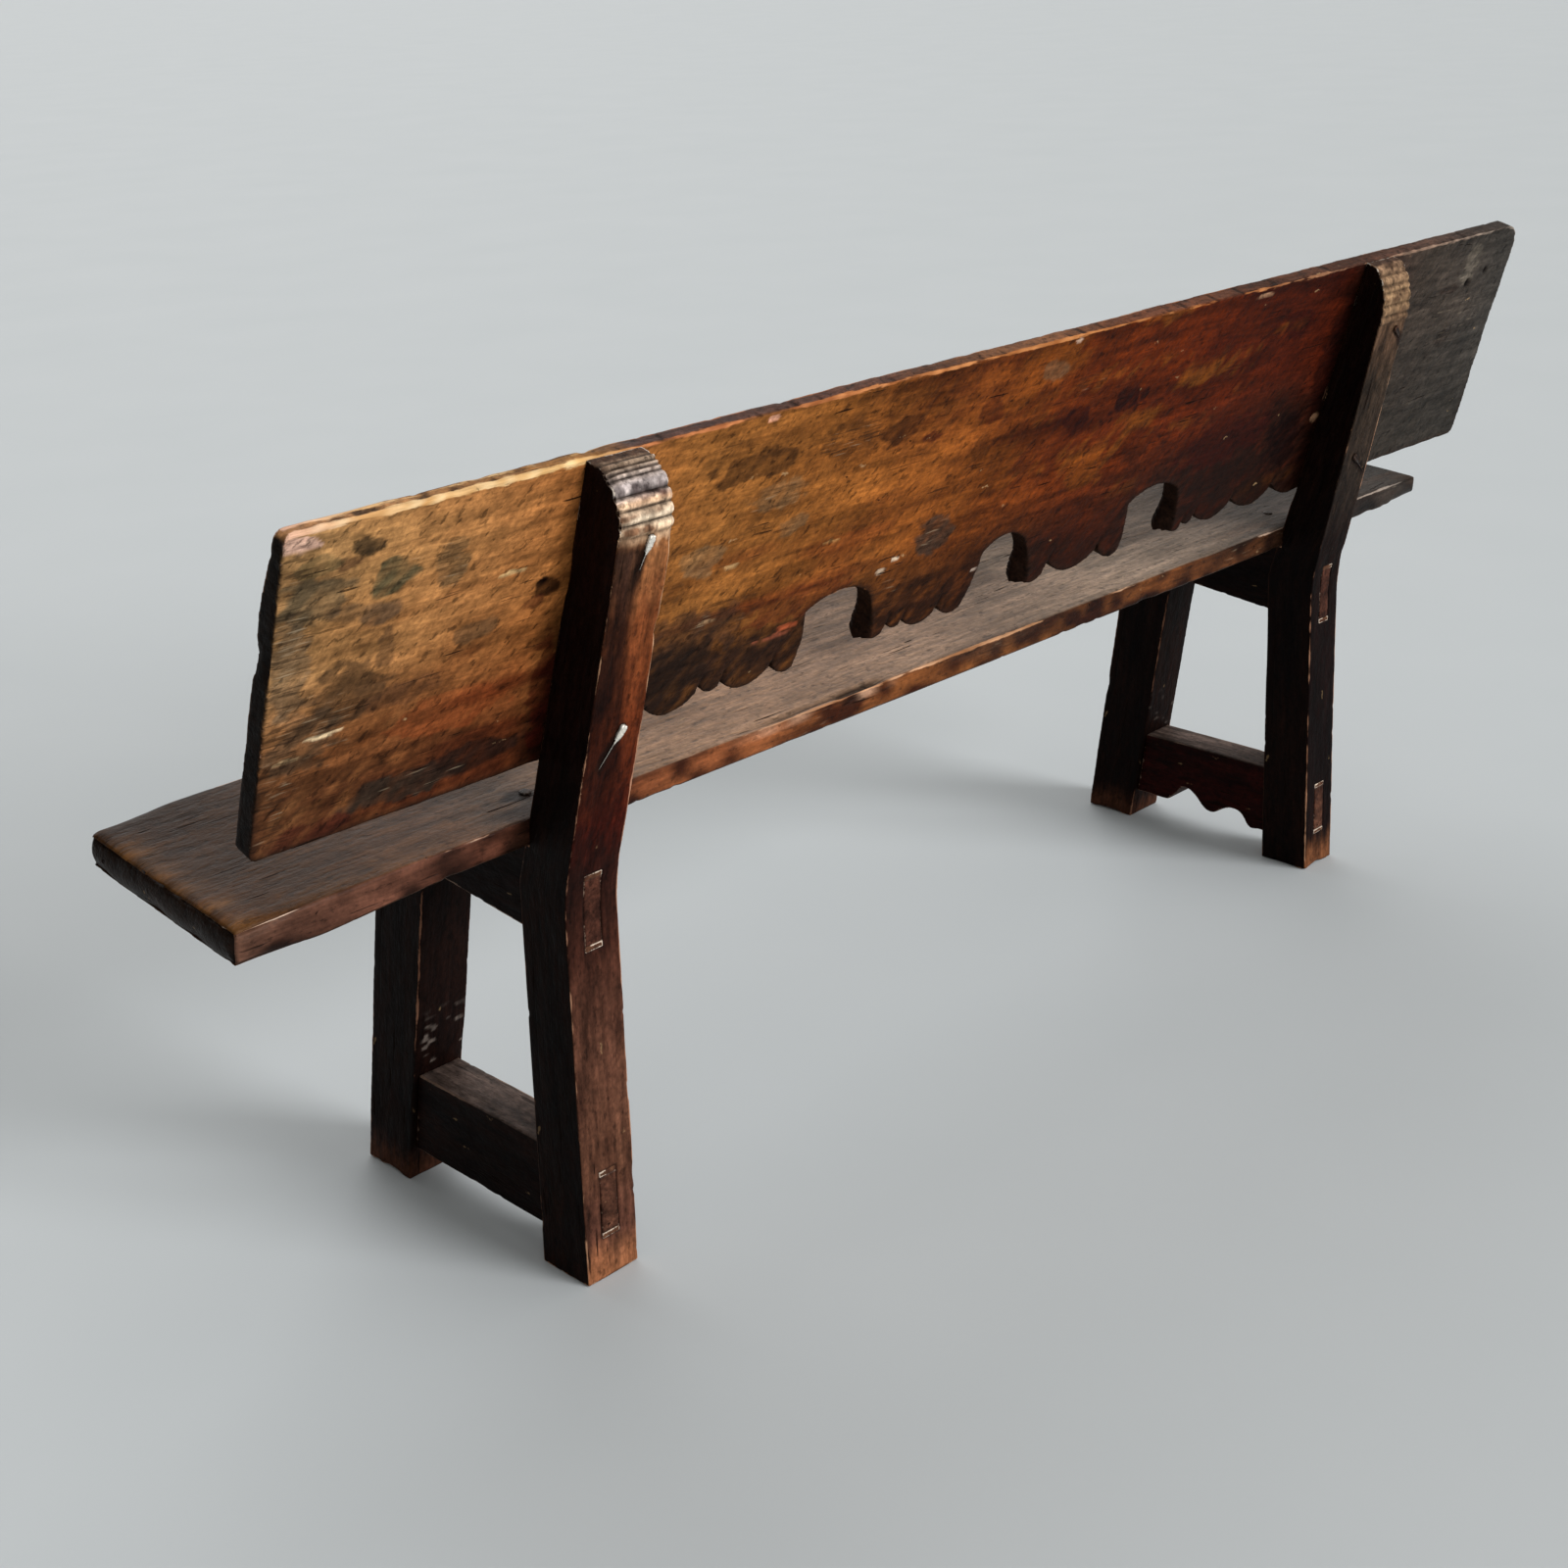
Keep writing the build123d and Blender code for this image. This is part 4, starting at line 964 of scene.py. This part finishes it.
worn_piece("back_plank", BACK_MESH, 1, along_back, weather_back, hewn_walnut)
worn_piece("seat_plank", SEAT_MESH, 2, along_seat, weather_seat, polished_walnut, thick_end)
# Seeds, and the lighter and darker colour of the upright sides: near-black stain, partly painted shade
RAILS = {
    "right_seat_bearer": (205, "#1a0c08", "#0a0403"),
    "left_seat_bearer": (204, "#1d0d09", "#0b0504"),
    "right_stretcher": (213, "#1d0e09", "#0c0504"),
    "left_stretcher": (212, "#2e0c09", "#120403"),
}
for side in ("right", "left"):
    for timber, step, along, weather in (
            ("_rear_post", POST_MESH, along_post, weather_post),
            ("_front_leg", FRAME_MESH, along_leg, weather_leg)):
        along, weather = partial(along, side), partial(weather, side)
        worn_piece(side + timber, step, 1, along, weather, stained_walnut)
    along = partial(along_rail, side)
    for rail in (side + "_seat_bearer", side + "_stretcher"):
        weather = partial(weather_rail, *RAILS[rail])
        worn_piece(rail, FRAME_MESH, 1, along, weather, stained_walnut)
    worn_piece(side + "_tenon_wedges", SMALL_MESH, 1, along, weather_wedge, oak_wedge)
worn_piece("back_nails", SMALL_MESH, 2, along_back, weather_back_nail, forged_iron)
worn_piece("seat_nails", SMALL_MESH, 2, along_seat, weather_seat_nail, forged_iron)


# Floor, light and camera

# In metres, so that its edges lie far off
FLOOR_SIZE = 600.0
FLOOR_GAP = 0.5
floor_mesh = bpy.data.meshes.new("floor")
half = FLOOR_SIZE / 2
corners = [(-half, -half, 0), (half, -half, 0), (half, half, 0), (-half, half, 0)]
floor_mesh.from_pydata(corners, [], [(0, 1, 2, 3)])
floor = bpy.data.objects.new("floor", floor_mesh)
floor.location.z = -FLOOR_GAP * MM
scene.collection.objects.link(floor)
# Smooth pale concrete: matt, with a faint cloudiness about 0.4 m across
pale_concrete, tree, shader = new_material("pale_concrete")
CLOUDS_PER_METRE = 2.5
place = add(tree, "TexCoord", {}).outputs["Object"]
cloud = add(tree, "TexNoise", {}, Vector=place, Scale=CLOUDS_PER_METRE, Detail=3.0).outputs["Fac"]
darker, lighter = ((*linear(code), 1) for code in ("#bcc1c3", "#c2c6c8"))
colour = add(tree, "Mix", COLOURS, cloud, in_6=darker, in_7=lighter)
tree.links.new(colour.outputs[2], shader.inputs["Base Color"])
shader.inputs["Roughness"].default_value = 0.75
floor_mesh.materials.append(pale_concrete)


def soft_sun(name, towards, spread, strength):
    """A broad, even light from far off, softened by its spread."""
    lamp = bpy.data.lights.new(name, "SUN")
    lamp.energy = strength
    lamp.angle = radians(spread)
    holder = bpy.data.objects.new(name, lamp)
    holder.rotation_euler = Vector(towards).to_track_quat("-Z", "Y").to_euler()
    scene.collection.objects.link(holder)


# Level with the back's rear face, so that its colours come out as written
soft_sun("rear_key", (0.28, -0.88, -0.42), 28, 2.75)
soft_sun("front_fill", (0.35, 0.75, -0.6), 60, 1.2)

# A studio that is bright towards the key and dim at the right end
KEY_SIDE = (-0.55, 0.7, 0.45)
DIM_SIDE, BRIGHT_SIDE = 0.06, 0.7
world = bpy.data.worlds.new("studio")
scene.world = world
world.use_nodes = True
tree = world.node_tree
heading = add(tree, "TexCoord", {}).outputs["Generated"]
towards = add(tree, "VectorMath", {"operation": "DOT_PRODUCT"}, heading, KEY_SIDE)
level = add(tree, "MapRange", {}, towards.outputs["Value"], -0.7, 0.9, DIM_SIDE, BRIGHT_SIDE)
sky = tree.nodes["Background"]
sky.inputs["Color"].default_value = (*linear("#f6f6f3"), 1)
tree.links.new(level.outputs[0], sky.inputs["Strength"])

# The camera stands behind the bench, off its right end. Its aim lies above the middle of the frame.
CAMERA_PLACE = Vector((MIDDLE + 1767.6, leg_low.y + 1754.1, 1211.9)) * MM
CAMERA_TURN, CAMERA_TILT, CAMERA_ROLL = (radians(turn) for turn in (134.88, 14.58, -1.84))
FOCAL_PIXELS, PHOTO_PIXELS, AIM_ABOVE_PIXELS = 2303.1, 1600, 300
level_share = cos(CAMERA_TILT)
back = Vector((sin(CAMERA_TURN) * level_share, -cos(CAMERA_TURN) * level_share, sin(CAMERA_TILT)))
level_right = Vector((0, 0, 1)).cross(back).normalized()
right = Matrix.Rotation(CAMERA_ROLL, 3, back) @ level_right
lens = bpy.data.cameras.new("camera")
lens.sensor_width = 36.0
lens.lens = FOCAL_PIXELS * lens.sensor_width / PHOTO_PIXELS
lens.shift_y = -AIM_ABOVE_PIXELS / PHOTO_PIXELS
camera = bpy.data.objects.new("camera", lens)
turned = Matrix((right, back.cross(right), back)).transposed().to_4x4()
camera.matrix_world = Matrix.Translation(CAMERA_PLACE) @ turned
scene.collection.objects.link(camera)
scene.camera = camera
scene.view_settings.view_transform = "Standard"
